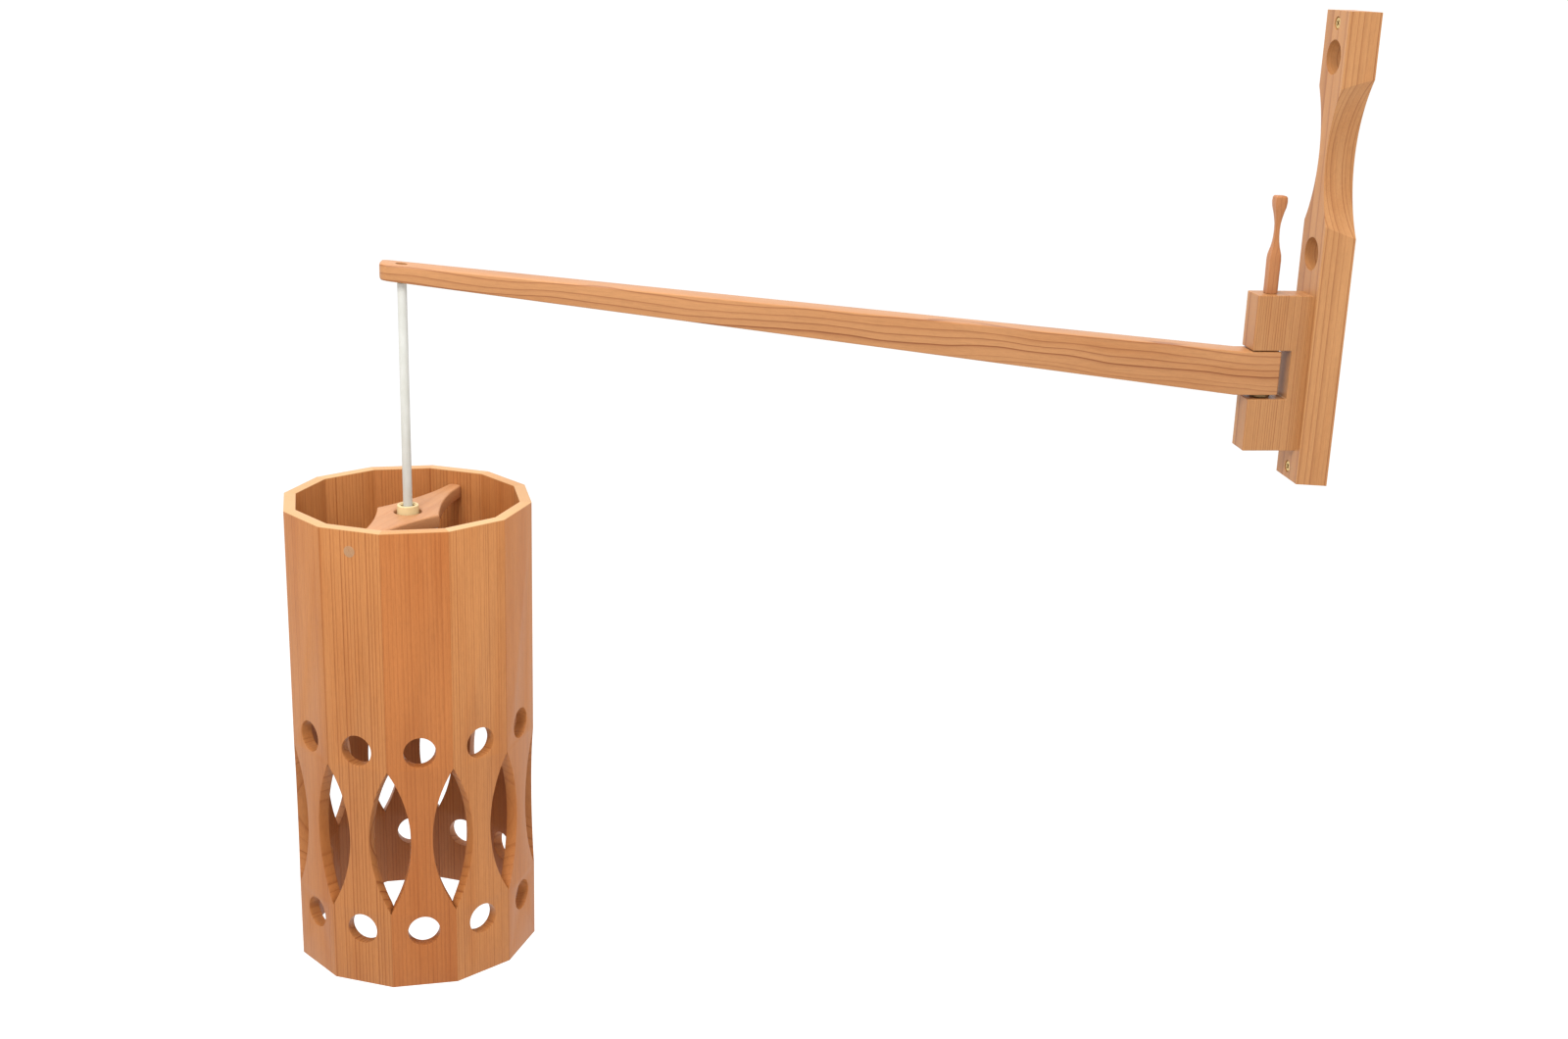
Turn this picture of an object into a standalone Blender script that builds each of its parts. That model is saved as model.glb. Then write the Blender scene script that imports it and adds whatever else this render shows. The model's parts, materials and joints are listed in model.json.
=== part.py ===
"""Swing-arm wall lamp in pine: a wall post with a hinge block, a tapered arm on a wooden
hinge pin, and a twelve-stave shade that hangs from the arm's tip on a flex.

The wall is the plane Y = 0 and the lamp stands out from it along -Y. The origin is on the
back of the post, level with the middle of the hinge block. Z is up. Lengths are in metres.
"""

import math

import bmesh
import bpy
from mathutils import Matrix, Vector

# Clearance left between two pieces that touch.
GAP = 0.0003
# How far a cutter runs out past the face that it cuts through.
OVERCUT = 0.01

# Wall post: a trapezoid in plan, wider at the wall.
POST_BOTTOM = -0.0700
POST_TOP = 0.2220
POST_DEPTH = 0.0186
POST_FRONT_HALF = 0.0165
POST_BACK_HALF = 0.0212
POST_ARRIS = 0.0010
POST_HOLE_RADIUS = 0.0104
POST_HOLE_HEIGHTS = (0.0750, 0.1945)
WAIST_HEIGHT = 0.1352
WAIST_HALF = 0.0055
WAIST_CUT_RADIUS = 0.0806

# Hinge block on the front of the post, with the notch that takes the arm.
BLOCK_DEPTH = 0.0352
BLOCK_HALF_WIDTH = 0.0095
BLOCK_TOP = 0.0500
BLOCK_BOTTOM = -0.0498
BLOCK_ARRIS = 0.0012
NOTCH_DEPTH = 0.0256
NOTCH_TOP = 0.0150
NOTCH_BOTTOM = -0.0162
PIN_FROM_FRONT = 0.0111

# Hinge pin: square above the block, round inside it.
PIN_RADIUS = 0.0035
PIN_HOLE_RADIUS = 0.0036
PIN_END = -0.0460
PIN_END_TAPER = 0.0008
PIN_TOP = 0.1108
# Corner radius as a part of the half width, and how far the top draws in.
PIN_CORNER = 0.28
PIN_TOP_TAPER = 0.72
# (height, half width) of the whittled part, from the block upwards.
PIN_SHAPE = (
    (0.0503, 0.0035),
    (0.0600, 0.0035),
    (0.0710, 0.0036),
    (0.0740, 0.0034),
    (0.0765, 0.0029),
    (0.0790, 0.0023),
    (0.0825, 0.00175),
    (0.0860, 0.0015),
    (0.0897, 0.0014),
    (0.0935, 0.00155),
    (0.0975, 0.0021),
    (0.1010, 0.0028),
    (0.1040, 0.0035),
    (0.1072, 0.0038),
    (0.1098, 0.0036),
)
WASHER_INNER_RADIUS = 0.0038
WASHER_OUTER_RADIUS = 0.0062
WASHER_THICKNESS = 0.0021

# Arm: reaches are measured along the arm from the hinge pin's axis.
ARM_HALF_WIDTH = 0.0095
ARM_BACK = -0.0082
ARM_KINK_TOP = 0.0170
ARM_KINK_BOTTOM = 0.0200
ARM_LENGTH = 0.5475
ARM_ROOT_TOP = 0.0143
ARM_ROOT_BOTTOM = -0.0135
ARM_TIP_TOP = 0.0634
ARM_TIP_BOTTOM = 0.0538
ARM_ARRIS = 0.0008
ARM_END_RADIUS = 0.0055
FLEX_REACH = 0.5350
GROOVE_HALF_WIDTH = 0.0031
GROOVE_DEPTH = 0.0062
GROOVE_START = 0.0240
TIP_HOLE_RADIUS = 0.0035

# Shade: twelve flat staves with mitred edges.
STAVES = 12
SHADE_RADIUS = 0.0759
SHADE_HEIGHT = 0.2929
STAVE_THICKNESS = 0.0070
RIM_HEIGHT = -0.0810
SHADE_TURN = math.radians(6.4)
STAVE_HOLE_RADIUS = 0.00965
STAVE_HOLE_DROPS = (0.1375, 0.2560)
LENS_DROP = 0.1960
LENS_HALF_HEIGHT = 0.0470
WAIST_OF_STAVE = 0.0129

# Crossbar that carries the shade on the lampholder.
BAR_DROP = 0.0086
BAR_THICKNESS = 0.0085
BAR_MID_HALF = 0.0210
BAR_END_HALF = 0.0042
BAR_END_CORNER = 0.0015
BAR_HOLE_RADIUS = 0.0083
BAR_STAVE = 2
PLUG_RADIUS = 0.0035
PLUG_THICKNESS = 0.0026
PLUG_FIT = 0.0001
PLUG_CLEARANCE = 0.0004
BAR_SCREW_RADIUS = 0.0015
BAR_SCREW_HEAD_RADIUS = 0.0032
BAR_SCREW_HEAD_HEIGHT = 0.0018
BAR_SCREW_POINT = 0.0015
BAR_SCREW_BITE = 0.0140

# Lampholder. A drop is a depth below the shade's rim.
GRIP_RADIUS = 0.0066
GRIP_BORE_RADIUS = 0.0044
GRIP_DROP = 0.0042
GRIP_FLOOR_DROP = 0.0105
GRIP_STEM_RADIUS = 0.0050
GRIP_STEM_LENGTH = 0.0080
CAP_DROP = 0.0174
CAP_RADIUS = 0.0200
CAP_HEIGHT = 0.0300
CAP_HOLE_RADIUS = 0.0053
BODY_HEIGHT = 0.0390
BODY_COLLAR_HEIGHT = 0.0080
BODY_SHOULDER = 0.0100
BODY_RADIUS = 0.0198
BODY_MOUTH_RADIUS = 0.0180
HOLDER_WALL = 0.0022
# Depths below the cap's lower edge.
INSULATOR_DROP = 0.0105
INSULATOR_THICKNESS = 0.0060
SOCKET_DROP = 0.0168
THREAD_TURNS = 4
THREAD_PITCH = 0.0036
THREAD_CREST_RADIUS = 0.0138
THREAD_ROOT_RADIUS = 0.0131
THREAD_WALL = 0.0005
CONTACT_RADIUS = 0.0040

# Flex.
FLEX_RADIUS = 0.0028
FLEX_TAIL = 0.0010
FLEX_BOTTOM_GAP = 0.0006
FLEX_BEND_RADIUS = 0.00313
FLEX_IN_GROOVE = 0.00005
FLEX_STEP = 0.012

# Countersunk screws.
SCREW_RIM = 0.0004
SCREW_POINT = 0.0025
SLOT_HALF_WIDTH = 0.0005
SLOT_DEPTH = 0.0010
WALL_SCREW_HEIGHTS = (("wall_screw_upper", 0.2146), ("wall_screw_lower", -0.0625))
WALL_SCREW_SINK = 0.0004
WALL_SCREW_HEAD_RADIUS = 0.0037
WALL_SCREW_RADIUS = 0.0019
BLOCK_SCREW_HEIGHTS = (("block_screw_upper", 0.0330), ("block_screw_lower", -0.0330))
BLOCK_SCREW_HEAD_RADIUS = 0.0040
BLOCK_SCREW_RADIUS = 0.0020
BLOCK_SCREW_STOP = 0.0040
BACK_SINK = 0.0006

POST_FRONT = -POST_DEPTH
BLOCK_BACK = POST_FRONT - GAP
BLOCK_FRONT = POST_FRONT - BLOCK_DEPTH
PIN_Y = BLOCK_FRONT + PIN_FROM_FRONT
HANG_Y = PIN_Y - FLEX_REACH
APOTHEM = SHADE_RADIUS * math.cos(math.pi / STAVES)
INNER_APOTHEM = APOTHEM - STAVE_THICKNESS
MITRE = math.tan(math.pi / STAVES)
BAR_TOP = RIM_HEIGHT - BAR_DROP
BAR_BOTTOM = BAR_TOP - BAR_THICKNESS
PLUG_HEIGHT = (BAR_TOP + BAR_BOTTOM) / 2
CAP_TOP = RIM_HEIGHT - CAP_DROP
CAP_BOTTOM = CAP_TOP - CAP_HEIGHT
SCREW_SEAT = APOTHEM - PLUG_THICKNESS - PLUG_CLEARANCE - BAR_SCREW_HEAD_HEIGHT
PIN_AXIS = Vector((0, PIN_Y, 0))
SHADE_AXIS = Vector((0, HANG_Y, RIM_HEIGHT))
HOLDER_PIVOT = Vector((0, HANG_Y, RIM_HEIGHT - GRIP_FLOOR_DROP))

COLOURS = {
    "pine_post": ((0.62, 0.36, 0.17), 0.55, 0.0),
    "pine_arm": ((0.63, 0.36, 0.17), 0.50, 0.0),
    "pine_shade": ((0.55, 0.27, 0.12), 0.50, 0.0),
    "pine_pin": ((0.50, 0.24, 0.10), 0.50, 0.0),
    "pine_plug": ((0.58, 0.36, 0.20), 0.60, 0.0),
    "cream_plastic": ((0.82, 0.72, 0.42), 0.40, 0.0),
    "white_plastic": ((0.80, 0.78, 0.70), 0.35, 0.0),
    "flex_sheath": ((0.82, 0.80, 0.74), 0.50, 0.0),
    "ceramic": ((0.85, 0.84, 0.80), 0.30, 0.0),
    "brass": ((0.72, 0.52, 0.18), 0.30, 1.0),
    "steel": ((0.55, 0.55, 0.56), 0.35, 1.0),
}


def clear_scene():
    for obj in list(bpy.data.objects):
        bpy.data.objects.remove(obj, do_unlink=True)


def material(node_name, finish):
    colour, roughness, metallic = COLOURS[finish]
    made = bpy.data.materials.new(node_name + "_" + finish)
    made.use_nodes = True
    shader = made.node_tree.nodes["Principled BSDF"]
    shader.inputs["Base Color"].default_value = (*colour, 1.0)
    shader.inputs["Roughness"].default_value = roughness
    shader.inputs["Metallic"].default_value = metallic
    return made


def add_object(name, shape, pivot=Vector((0, 0, 0))):
    """Makes an object from a bmesh in world coordinates, with its origin at pivot."""
    bmesh.ops.translate(shape, verts=shape.verts, vec=-pivot)
    bmesh.ops.recalc_face_normals(shape, faces=shape.faces)
    mesh = bpy.data.meshes.new(name)
    shape.to_mesh(mesh)
    shape.free()
    obj = bpy.data.objects.new(name, mesh)
    obj.location = pivot
    bpy.context.scene.collection.objects.link(obj)
    return obj


def node(name, shape, finish, pivot=Vector((0, 0, 0)), smooth=False):
    obj = add_object(name, shape, pivot)
    obj.data.materials.append(material(name, finish))
    if smooth:
        obj.data.shade_smooth()
        obj.data.set_sharp_from_angle(angle=math.radians(35))
    return obj


def cut(obj, shape):
    """Cuts a bmesh in world coordinates out of obj."""
    cutter = add_object(obj.name + "_cutter", shape)
    cutter.hide_render = True
    cutter.display_type = "WIRE"
    step = obj.modifiers.new("cut", "BOOLEAN")
    step.operation = "DIFFERENCE"
    step.solver = "EXACT"
    step.object = cutter


def loft(rings):
    """A closed solid through rings that all have the same number of points."""
    shape = bmesh.new()
    loops = [[shape.verts.new(point) for point in ring] for ring in rings]
    count = len(loops[0])
    for low, high in zip(loops, loops[1:]):
        for i in range(count):
            j = (i + 1) % count
            shape.faces.new((low[i], low[j], high[j], high[i]))
    shape.faces.new(loops[0][::-1])
    shape.faces.new(loops[-1])
    return shape


def box(low, high):
    corners = ((0, 0), (1, 0), (1, 1), (0, 1))
    rings = []
    for z in (low[2], high[2]):
        ring = []
        for i, j in corners:
            ring.append(((low[0], high[0])[i], (low[1], high[1])[j], z))
        rings.append(ring)
    return loft(rings)


def turned(profile, centre, segments=32):
    """Turns (radius, height) points about the vertical through centre.

    A profile that starts and ends at radius 0 makes a solid. Any other makes a ring.
    """
    shape = bmesh.new()
    loops = []
    for radius, height in profile:
        if radius == 0:
            loops.append([shape.verts.new((centre[0], centre[1], height))] * segments)
            continue
        ring = []
        for i in range(segments):
            turn = 2 * math.pi * i / segments
            x = centre[0] + radius * math.cos(turn)
            y = centre[1] + radius * math.sin(turn)
            ring.append(shape.verts.new((x, y, height)))
        loops.append(ring)
    pairs = list(zip(loops, loops[1:]))
    if profile[0][0] != 0:
        pairs.append((loops[-1], loops[0]))
    for low, high in pairs:
        for i in range(segments):
            j = (i + 1) % segments
            corners = []
            for vert in (low[i], low[j], high[j], high[i]):
                if vert not in corners:
                    corners.append(vert)
            shape.faces.new(corners)
    return shape


def rod(start, end, radius, segments=32):
    """A round rod between two points."""
    start, end = Vector(start), Vector(end)
    length = (end - start).length
    shape = turned(((0, 0), (radius, 0), (radius, length), (0, length)), (0, 0), segments)
    turn = Vector((0, 0, 1)).rotation_difference(end - start).to_matrix().to_4x4()
    bmesh.ops.transform(shape, matrix=Matrix.Translation(start) @ turn, verts=shape.verts)
    return shape


def upright_rod(y, low, high, radius):
    """An upright cutter in the plane X = 0, run out past both ends of low to high."""
    return rod((0, y, low - OVERCUT), (0, y, high + OVERCUT), radius)


def chamfered_rectangle(half_width, low, high, arris):
    """Eight corners of an upright rectangle with its arrises taken off, as (across, height)."""
    inner = half_width - arris
    return (
        (-inner, low),
        (inner, low),
        (half_width, low + arris),
        (half_width, high - arris),
        (inner, high),
        (-inner, high),
        (-half_width, high - arris),
        (-half_width, low + arris),
    )


def post():
    front = POST_FRONT_HALF
    back = POST_BACK_HALF
    arris = POST_ARRIS
    plan = (
        (-back, 0),
        (back, 0),
        (front, POST_FRONT + arris),
        (front - arris, POST_FRONT),
        (-front + arris, POST_FRONT),
        (-front, POST_FRONT + arris),
    )
    rings = [[(x, y, z) for x, y in plan] for z in (POST_BOTTOM, POST_TOP)]
    made = node("post", loft(rings), "pine_post")
    for side in (-1, 1):
        x = side * (WAIST_HALF + WAIST_CUT_RADIUS)
        start = (x, OVERCUT, WAIST_HEIGHT)
        end = (x, POST_FRONT - OVERCUT, WAIST_HEIGHT)
        cut(made, rod(start, end, WAIST_CUT_RADIUS, 96))
    for height in POST_HOLE_HEIGHTS:
        start = (0, OVERCUT, height)
        end = (0, POST_FRONT - OVERCUT, height)
        cut(made, rod(start, end, POST_HOLE_RADIUS, 36))
    return made


def hinge_block():
    arris = BLOCK_ARRIS
    half = BLOCK_HALF_WIDTH
    rings = []
    for z, inset in (
        (BLOCK_BOTTOM, arris),
        (BLOCK_BOTTOM + arris, 0),
        (BLOCK_TOP - arris, 0),
        (BLOCK_TOP, arris),
    ):
        side = half - inset
        front = BLOCK_FRONT + inset
        rings.append(
            [
                (-side, BLOCK_BACK, z),
                (side, BLOCK_BACK, z),
                (side, front + arris, z),
                (side - arris, front, z),
                (-side + arris, front, z),
                (-side, front + arris, z),
            ]
        )
    made = node("hinge_block", loft(rings), "pine_post")
    low = (-half - OVERCUT, BLOCK_FRONT - OVERCUT, NOTCH_BOTTOM)
    high = (half + OVERCUT, BLOCK_FRONT + NOTCH_DEPTH, NOTCH_TOP)
    cut(made, box(low, high))
    cut(made, upright_rod(PIN_Y, BLOCK_BOTTOM, BLOCK_TOP, PIN_HOLE_RADIUS))
    return made


def square_ring(half, height, corner, segments=5):
    """A square ring with rounded corners round the pin's axis, corner being their radius."""
    ring = []
    for quarter in range(4):
        turn = math.pi / 2 * quarter
        for i in range(segments):
            angle = math.pi / 2 * i / (segments - 1)
            x = half - corner + corner * math.cos(angle)
            y = half - corner + corner * math.sin(angle)
            point = Matrix.Rotation(turn, 3, "Z") @ Vector((x, y, 0))
            ring.append(point + Vector((0, PIN_Y, height)))
    return ring


def round_ring(radius, height):
    """The hinge pin's round section, with points in the same order as square_ring's."""
    ring = []
    for point in square_ring(radius, height, radius * 0.9):
        outward = Vector((point.x, point.y - PIN_Y, 0)).normalized()
        ring.append(Vector((0, PIN_Y, height)) + outward * radius)
    return ring


def hinge_pin():
    rings = [
        round_ring(PIN_RADIUS - PIN_END_TAPER, PIN_END),
        round_ring(PIN_RADIUS, PIN_END + PIN_END_TAPER),
        round_ring(PIN_RADIUS, PIN_SHAPE[0][0] - GAP / 2),
    ]
    for height, half in PIN_SHAPE:
        rings.append(square_ring(half, height, half * PIN_CORNER))
    top = PIN_SHAPE[-1][1] * PIN_TOP_TAPER
    rings.append(square_ring(top, PIN_TOP, top * PIN_CORNER))
    node("hinge_pin", loft(rings), "pine_pin", PIN_AXIS, smooth=True)


def hinge_washer():
    low = NOTCH_BOTTOM + GAP
    high = low + WASHER_THICKNESS
    profile = (
        (WASHER_INNER_RADIUS, low),
        (WASHER_OUTER_RADIUS, low),
        (WASHER_OUTER_RADIUS, high),
        (WASHER_INNER_RADIUS, high),
    )
    node("hinge_washer", turned(profile, (0, PIN_Y)), "brass", smooth=True)


def arm_top(reach):
    if reach <= ARM_KINK_TOP:
        return ARM_ROOT_TOP
    part = (reach - ARM_KINK_TOP) / (ARM_LENGTH - ARM_KINK_TOP)
    return ARM_ROOT_TOP + part * (ARM_TIP_TOP - ARM_ROOT_TOP)


def arm_bottom(reach):
    if reach <= ARM_KINK_BOTTOM:
        return ARM_ROOT_BOTTOM
    part = (reach - ARM_KINK_BOTTOM) / (ARM_LENGTH - ARM_KINK_BOTTOM)
    return ARM_ROOT_BOTTOM + part * (ARM_TIP_BOTTOM - ARM_ROOT_BOTTOM)


def arm_stations():
    """(reach, half width) along the arm, with the tip's corners rounded in plan."""
    stations = [(ARM_BACK, ARM_HALF_WIDTH), (ARM_KINK_TOP, ARM_HALF_WIDTH)]
    stations.append((ARM_KINK_BOTTOM, ARM_HALF_WIDTH))
    steps = 8
    for i in range(steps + 1):
        angle = math.pi / 2 * i / steps
        reach = ARM_LENGTH - ARM_END_RADIUS * (1 - math.sin(angle))
        half = ARM_HALF_WIDTH - ARM_END_RADIUS * (1 - math.cos(angle))
        stations.append((reach, half))
    return stations


def arm():
    rings = []
    for reach, half in arm_stations():
        section = chamfered_rectangle(half, arm_bottom(reach), arm_top(reach), ARM_ARRIS)
        rings.append([(x, PIN_Y - reach, z) for x, z in section])
    made = node("arm", loft(rings), "pine_arm", PIN_AXIS)
    cut(made, upright_rod(PIN_Y, ARM_ROOT_BOTTOM, ARM_ROOT_TOP, PIN_HOLE_RADIUS))
    cut(made, groove_shape())
    cut(made, upright_rod(HANG_Y, ARM_TIP_BOTTOM, ARM_TIP_TOP, TIP_HOLE_RADIUS))


def groove_shape():
    """The slot under the arm that holds the flex, with rounded ends."""
    steps = 6
    plan = []
    for centre, turn in ((FLEX_REACH, 0), (GROOVE_START + GROOVE_HALF_WIDTH, math.pi)):
        for i in range(steps + 1):
            angle = turn + math.pi * i / steps
            x = GROOVE_HALF_WIDTH * math.cos(angle)
            plan.append((x, centre + GROOVE_HALF_WIDTH * math.sin(angle)))
    rings = []
    for lift in (-OVERCUT, GROOVE_DEPTH):
        rings.append([(x, PIN_Y - reach, arm_bottom(reach) + lift) for x, reach in plan])
    return loft(rings)


def smooth_path(corners, radius):
    """Points along straight runs between corners, with each inner corner rounded."""
    points = [Vector(corners[0])]
    for before, corner, after in zip(corners, corners[1:], corners[2:]):
        before, corner, after = Vector(before), Vector(corner), Vector(after)
        into = (corner - before).normalized()
        out = (after - corner).normalized()
        turn = into.angle(out)
        back = radius * math.tan(turn / 2)
        centre_way = (out - into).normalized()
        centre = corner + centre_way * (radius / math.cos(turn / 2))
        start = corner - into * back
        axis = into.cross(out).normalized()
        count = 8
        for i in range(count + 1):
            spun = Matrix.Rotation(turn * i / count, 3, axis) @ (start - centre)
            points.append(centre + spun)
    points.append(Vector(corners[-1]))
    return fill_straights(points)


def fill_straights(points):
    filled = [points[0]]
    for a, b in zip(points, points[1:]):
        count = max(1, round((b - a).length / FLEX_STEP))
        for i in range(1, count + 1):
            filled.append(a.lerp(b, i / count))
    return filled


def flex(name, points, pivot):
    curve = bpy.data.curves.new(name, "CURVE")
    curve.dimensions = "3D"
    curve.bevel_depth = FLEX_RADIUS
    curve.bevel_resolution = 3
    curve.use_fill_caps = True
    line = curve.splines.new("POLY")
    line.points.add(len(points) - 1)
    for place, point in zip(line.points, points):
        place.co = (*(point - pivot), 1.0)
    obj = bpy.data.objects.new(name, curve)
    obj.location = pivot
    obj.data.materials.append(material(name, "flex_sheath"))
    bpy.context.scene.collection.objects.link(obj)


def pendant_flex():
    top = Vector((0, HANG_Y, arm_bottom(FLEX_REACH) - FLEX_TAIL - GAP))
    bottom = Vector((0, HANG_Y, RIM_HEIGHT - GRIP_FLOOR_DROP + FLEX_BOTTOM_GAP))
    flex("pendant_flex", fill_straights([top, bottom]), top)


def arm_flex():
    """The run of flex held in the arm's groove, bent down at both of its ends."""
    lift = GROOVE_HALF_WIDTH + FLEX_IN_GROOVE
    near = GROOVE_START + GROOVE_HALF_WIDTH
    start = (0, HANG_Y, arm_bottom(FLEX_REACH) - FLEX_TAIL)
    over = (0, HANG_Y, arm_bottom(FLEX_REACH) + lift)
    back = (0, PIN_Y - near, arm_bottom(near) + lift)
    end = (0, PIN_Y - near, arm_bottom(near) - FLEX_TAIL)
    points = smooth_path((start, over, back, end), FLEX_BEND_RADIUS)
    flex("arm_flex", points, PIN_AXIS)


def stave_edge(drop):
    """Half width of a stave's outer face at a depth below the rim."""
    full = SHADE_RADIUS * math.sin(math.pi / STAVES) - GAP / 2
    sag = full - WAIST_OF_STAVE / 2
    radius = (LENS_HALF_HEIGHT**2 + sag**2) / (2 * sag)
    off = drop - LENS_DROP
    if abs(off) >= LENS_HALF_HEIGHT:
        return full
    return WAIST_OF_STAVE / 2 + radius - math.sqrt(radius**2 - off**2)


def stave_outline(inner):
    """(across, height) round a stave's outer or inner face, as seen from outside."""
    steps = 12
    drops = [0.0]
    for i in range(steps + 1):
        drops.append(LENS_DROP - LENS_HALF_HEIGHT + 2 * LENS_HALF_HEIGHT * i / steps)
    drops.append(SHADE_HEIGHT)
    limit = stave_edge(0)
    if inner:
        limit -= STAVE_THICKNESS * MITRE
    side = [(min(stave_edge(drop), limit), -drop) for drop in drops]
    return side + [(-across, height) for across, height in reversed(side)]


def stave(index):
    """A stave built facing +X, with its top on the rim, then turned to its place."""
    shape = bmesh.new()
    loops = []
    for inner, x in ((False, APOTHEM), (True, INNER_APOTHEM)):
        outline = [Vector((x, across, height)) for across, height in stave_outline(inner)]
        rings = [outline]
        for drop in STAVE_HOLE_DROPS:
            rings.append(circle_in_face(x, -drop, STAVE_HOLE_RADIUS, 28))
        loops.append([add_loop(shape, ring) for ring in rings])
    for rings in loops:
        edges = [edge for _, loop_edges in rings for edge in loop_edges]
        bmesh.ops.triangle_fill(shape, use_beauty=True, edges=edges)
    for (outer, _), (inner, _) in zip(loops[0], loops[1]):
        count = len(outer)
        for i in range(count):
            j = (i + 1) % count
            shape.faces.new((outer[i], outer[j], inner[j], inner[i]))
    made = node(f"stave_{index + 1:02d}", shape, "pine_shade")
    made.location = SHADE_AXIS
    made.rotation_euler.z = SHADE_TURN - math.pi / 2 + 2 * math.pi * index / STAVES
    return made


def circle_in_face(x, height, radius, segments):
    points = []
    for i in range(segments):
        turn = 2 * math.pi * i / segments
        points.append(Vector((x, radius * math.cos(turn), height + radius * math.sin(turn))))
    return points


def add_loop(shape, points):
    verts = [shape.verts.new(point) for point in points]
    edges = []
    for i, vert in enumerate(verts):
        edges.append(shape.edges.new((vert, verts[(i + 1) % len(verts)])))
    return verts, edges


def bar_direction():
    turn = SHADE_TURN + 2 * math.pi * BAR_STAVE / STAVES
    return Vector((math.sin(turn), -math.cos(turn), 0))


def bar_point(along, across, height):
    way = bar_direction()
    side = Vector((-way.y, way.x, 0))
    return Vector((0, HANG_Y, height)) + way * along + side * across


def bar_half_width(along):
    part = 1 - abs(along) / INNER_APOTHEM
    return BAR_END_HALF + (BAR_MID_HALF - BAR_END_HALF) * max(0.0, part) ** 2


def crossbar():
    steps = 10
    length = INNER_APOTHEM - GAP
    corner = BAR_END_CORNER
    reaches = [length * i / steps for i in range(steps)] + [length - corner, length]
    quarter = [(reach, bar_half_width(reach)) for reach in reaches]
    quarter[-1] = (length, BAR_END_HALF - corner)
    plan = list(quarter)
    plan += [(reach, -half) for reach, half in reversed(quarter)]
    plan += [(-reach, -half) for reach, half in quarter[1:]]
    plan += [(-reach, half) for reach, half in reversed(quarter[1:])]
    rings = []
    for height in (BAR_BOTTOM, BAR_TOP):
        rings.append([bar_point(along, across, height) for along, across in plan])
    made = node("crossbar", loft(rings), "pine_shade", SHADE_AXIS)
    cut(made, upright_rod(HANG_Y, BAR_BOTTOM, BAR_TOP, BAR_HOLE_RADIUS))
    for side in (-1, 1):
        deepest = INNER_APOTHEM - BAR_SCREW_BITE - GAP
        cut(made, bar_rod(side, deepest, INNER_APOTHEM + OVERCUT, BAR_SCREW_RADIUS + GAP))


def bar_rod(side, near, far, radius):
    """A rod along the crossbar's middle line, between two distances from the shade's axis."""
    start = bar_point(side * near, 0, PLUG_HEIGHT)
    end = bar_point(side * far, 0, PLUG_HEIGHT)
    return rod(start, end, radius, 24)


def bar_screw_holes(stave_object, side):
    """The clearance hole and the counterbore for the screw and plug in a stave."""
    inside = INNER_APOTHEM - STAVE_THICKNESS / 2
    outside = APOTHEM + OVERCUT
    cut(stave_object, bar_rod(side, SCREW_SEAT - GAP, outside, PLUG_RADIUS + PLUG_FIT))
    cut(stave_object, bar_rod(side, inside, outside, BAR_SCREW_RADIUS + GAP))


def bar_screw(number, side):
    """A pan-head screw through a stave into the crossbar's end, its point inwards."""
    tip = INNER_APOTHEM - BAR_SCREW_BITE
    under_head = SCREW_SEAT - tip
    head_top = under_head + BAR_SCREW_HEAD_HEIGHT
    profile = (
        (0, 0),
        (BAR_SCREW_RADIUS, BAR_SCREW_POINT),
        (BAR_SCREW_RADIUS, under_head),
        (BAR_SCREW_HEAD_RADIUS, under_head),
        (BAR_SCREW_HEAD_RADIUS, head_top),
        (0, head_top),
    )
    screw = turned(profile, (0, 0), 24)
    start = bar_point(side * tip, 0, PLUG_HEIGHT)
    bmesh.ops.transform(screw, matrix=pointing(start, bar_direction() * side), verts=screw.verts)
    node(f"bar_screw_{number}", screw, "steel", SHADE_AXIS, smooth=True)


def bar_plug(number, side):
    """The plug that hides a crossbar screw, level with the stave's outer face."""
    plug = bar_rod(side, APOTHEM - PLUG_THICKNESS, APOTHEM, PLUG_RADIUS)
    node(f"bar_plug_{number}", plug, "pine_plug", SHADE_AXIS, smooth=True)


def holder_part(name, profile, finish, segments=32):
    shape = turned(profile, (0, HANG_Y), segments)
    node(name, shape, finish, HOLDER_PIVOT, smooth=True)


def cord_grip():
    """The cord grip, whose threaded stem screws into the lampholder's cap."""
    top = RIM_HEIGHT - GRIP_DROP
    floor = RIM_HEIGHT - GRIP_FLOOR_DROP
    seat = CAP_TOP + GAP
    lip = 0.0005
    profile = (
        (0, floor),
        (GRIP_BORE_RADIUS, floor),
        (GRIP_BORE_RADIUS, top - lip),
        (GRIP_BORE_RADIUS + lip, top),
        (GRIP_RADIUS - lip, top),
        (GRIP_RADIUS, top - lip),
        (GRIP_RADIUS, seat),
        (GRIP_STEM_RADIUS, seat),
        (GRIP_STEM_RADIUS, seat - GRIP_STEM_LENGTH),
        (0, seat - GRIP_STEM_LENGTH),
    )
    holder_part("cord_grip", profile, "cream_plastic")


def holder_cap():
    profile = (
        (CAP_HOLE_RADIUS, CAP_TOP),
        (0.0120, CAP_TOP),
        (0.0150, CAP_TOP - 0.0010),
        (0.0180, CAP_TOP - 0.0045),
        (CAP_RADIUS, CAP_TOP - 0.0110),
        (CAP_RADIUS, CAP_BOTTOM),
        (CAP_RADIUS - HOLDER_WALL, CAP_BOTTOM),
        (CAP_RADIUS - HOLDER_WALL, CAP_TOP - 0.0120),
        (0.0160, CAP_TOP - 0.0065),
        (0.0130, CAP_TOP - 0.0035),
        (CAP_HOLE_RADIUS, CAP_TOP - 0.0030),
    )
    holder_part("holder_cap", profile, "white_plastic")


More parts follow.
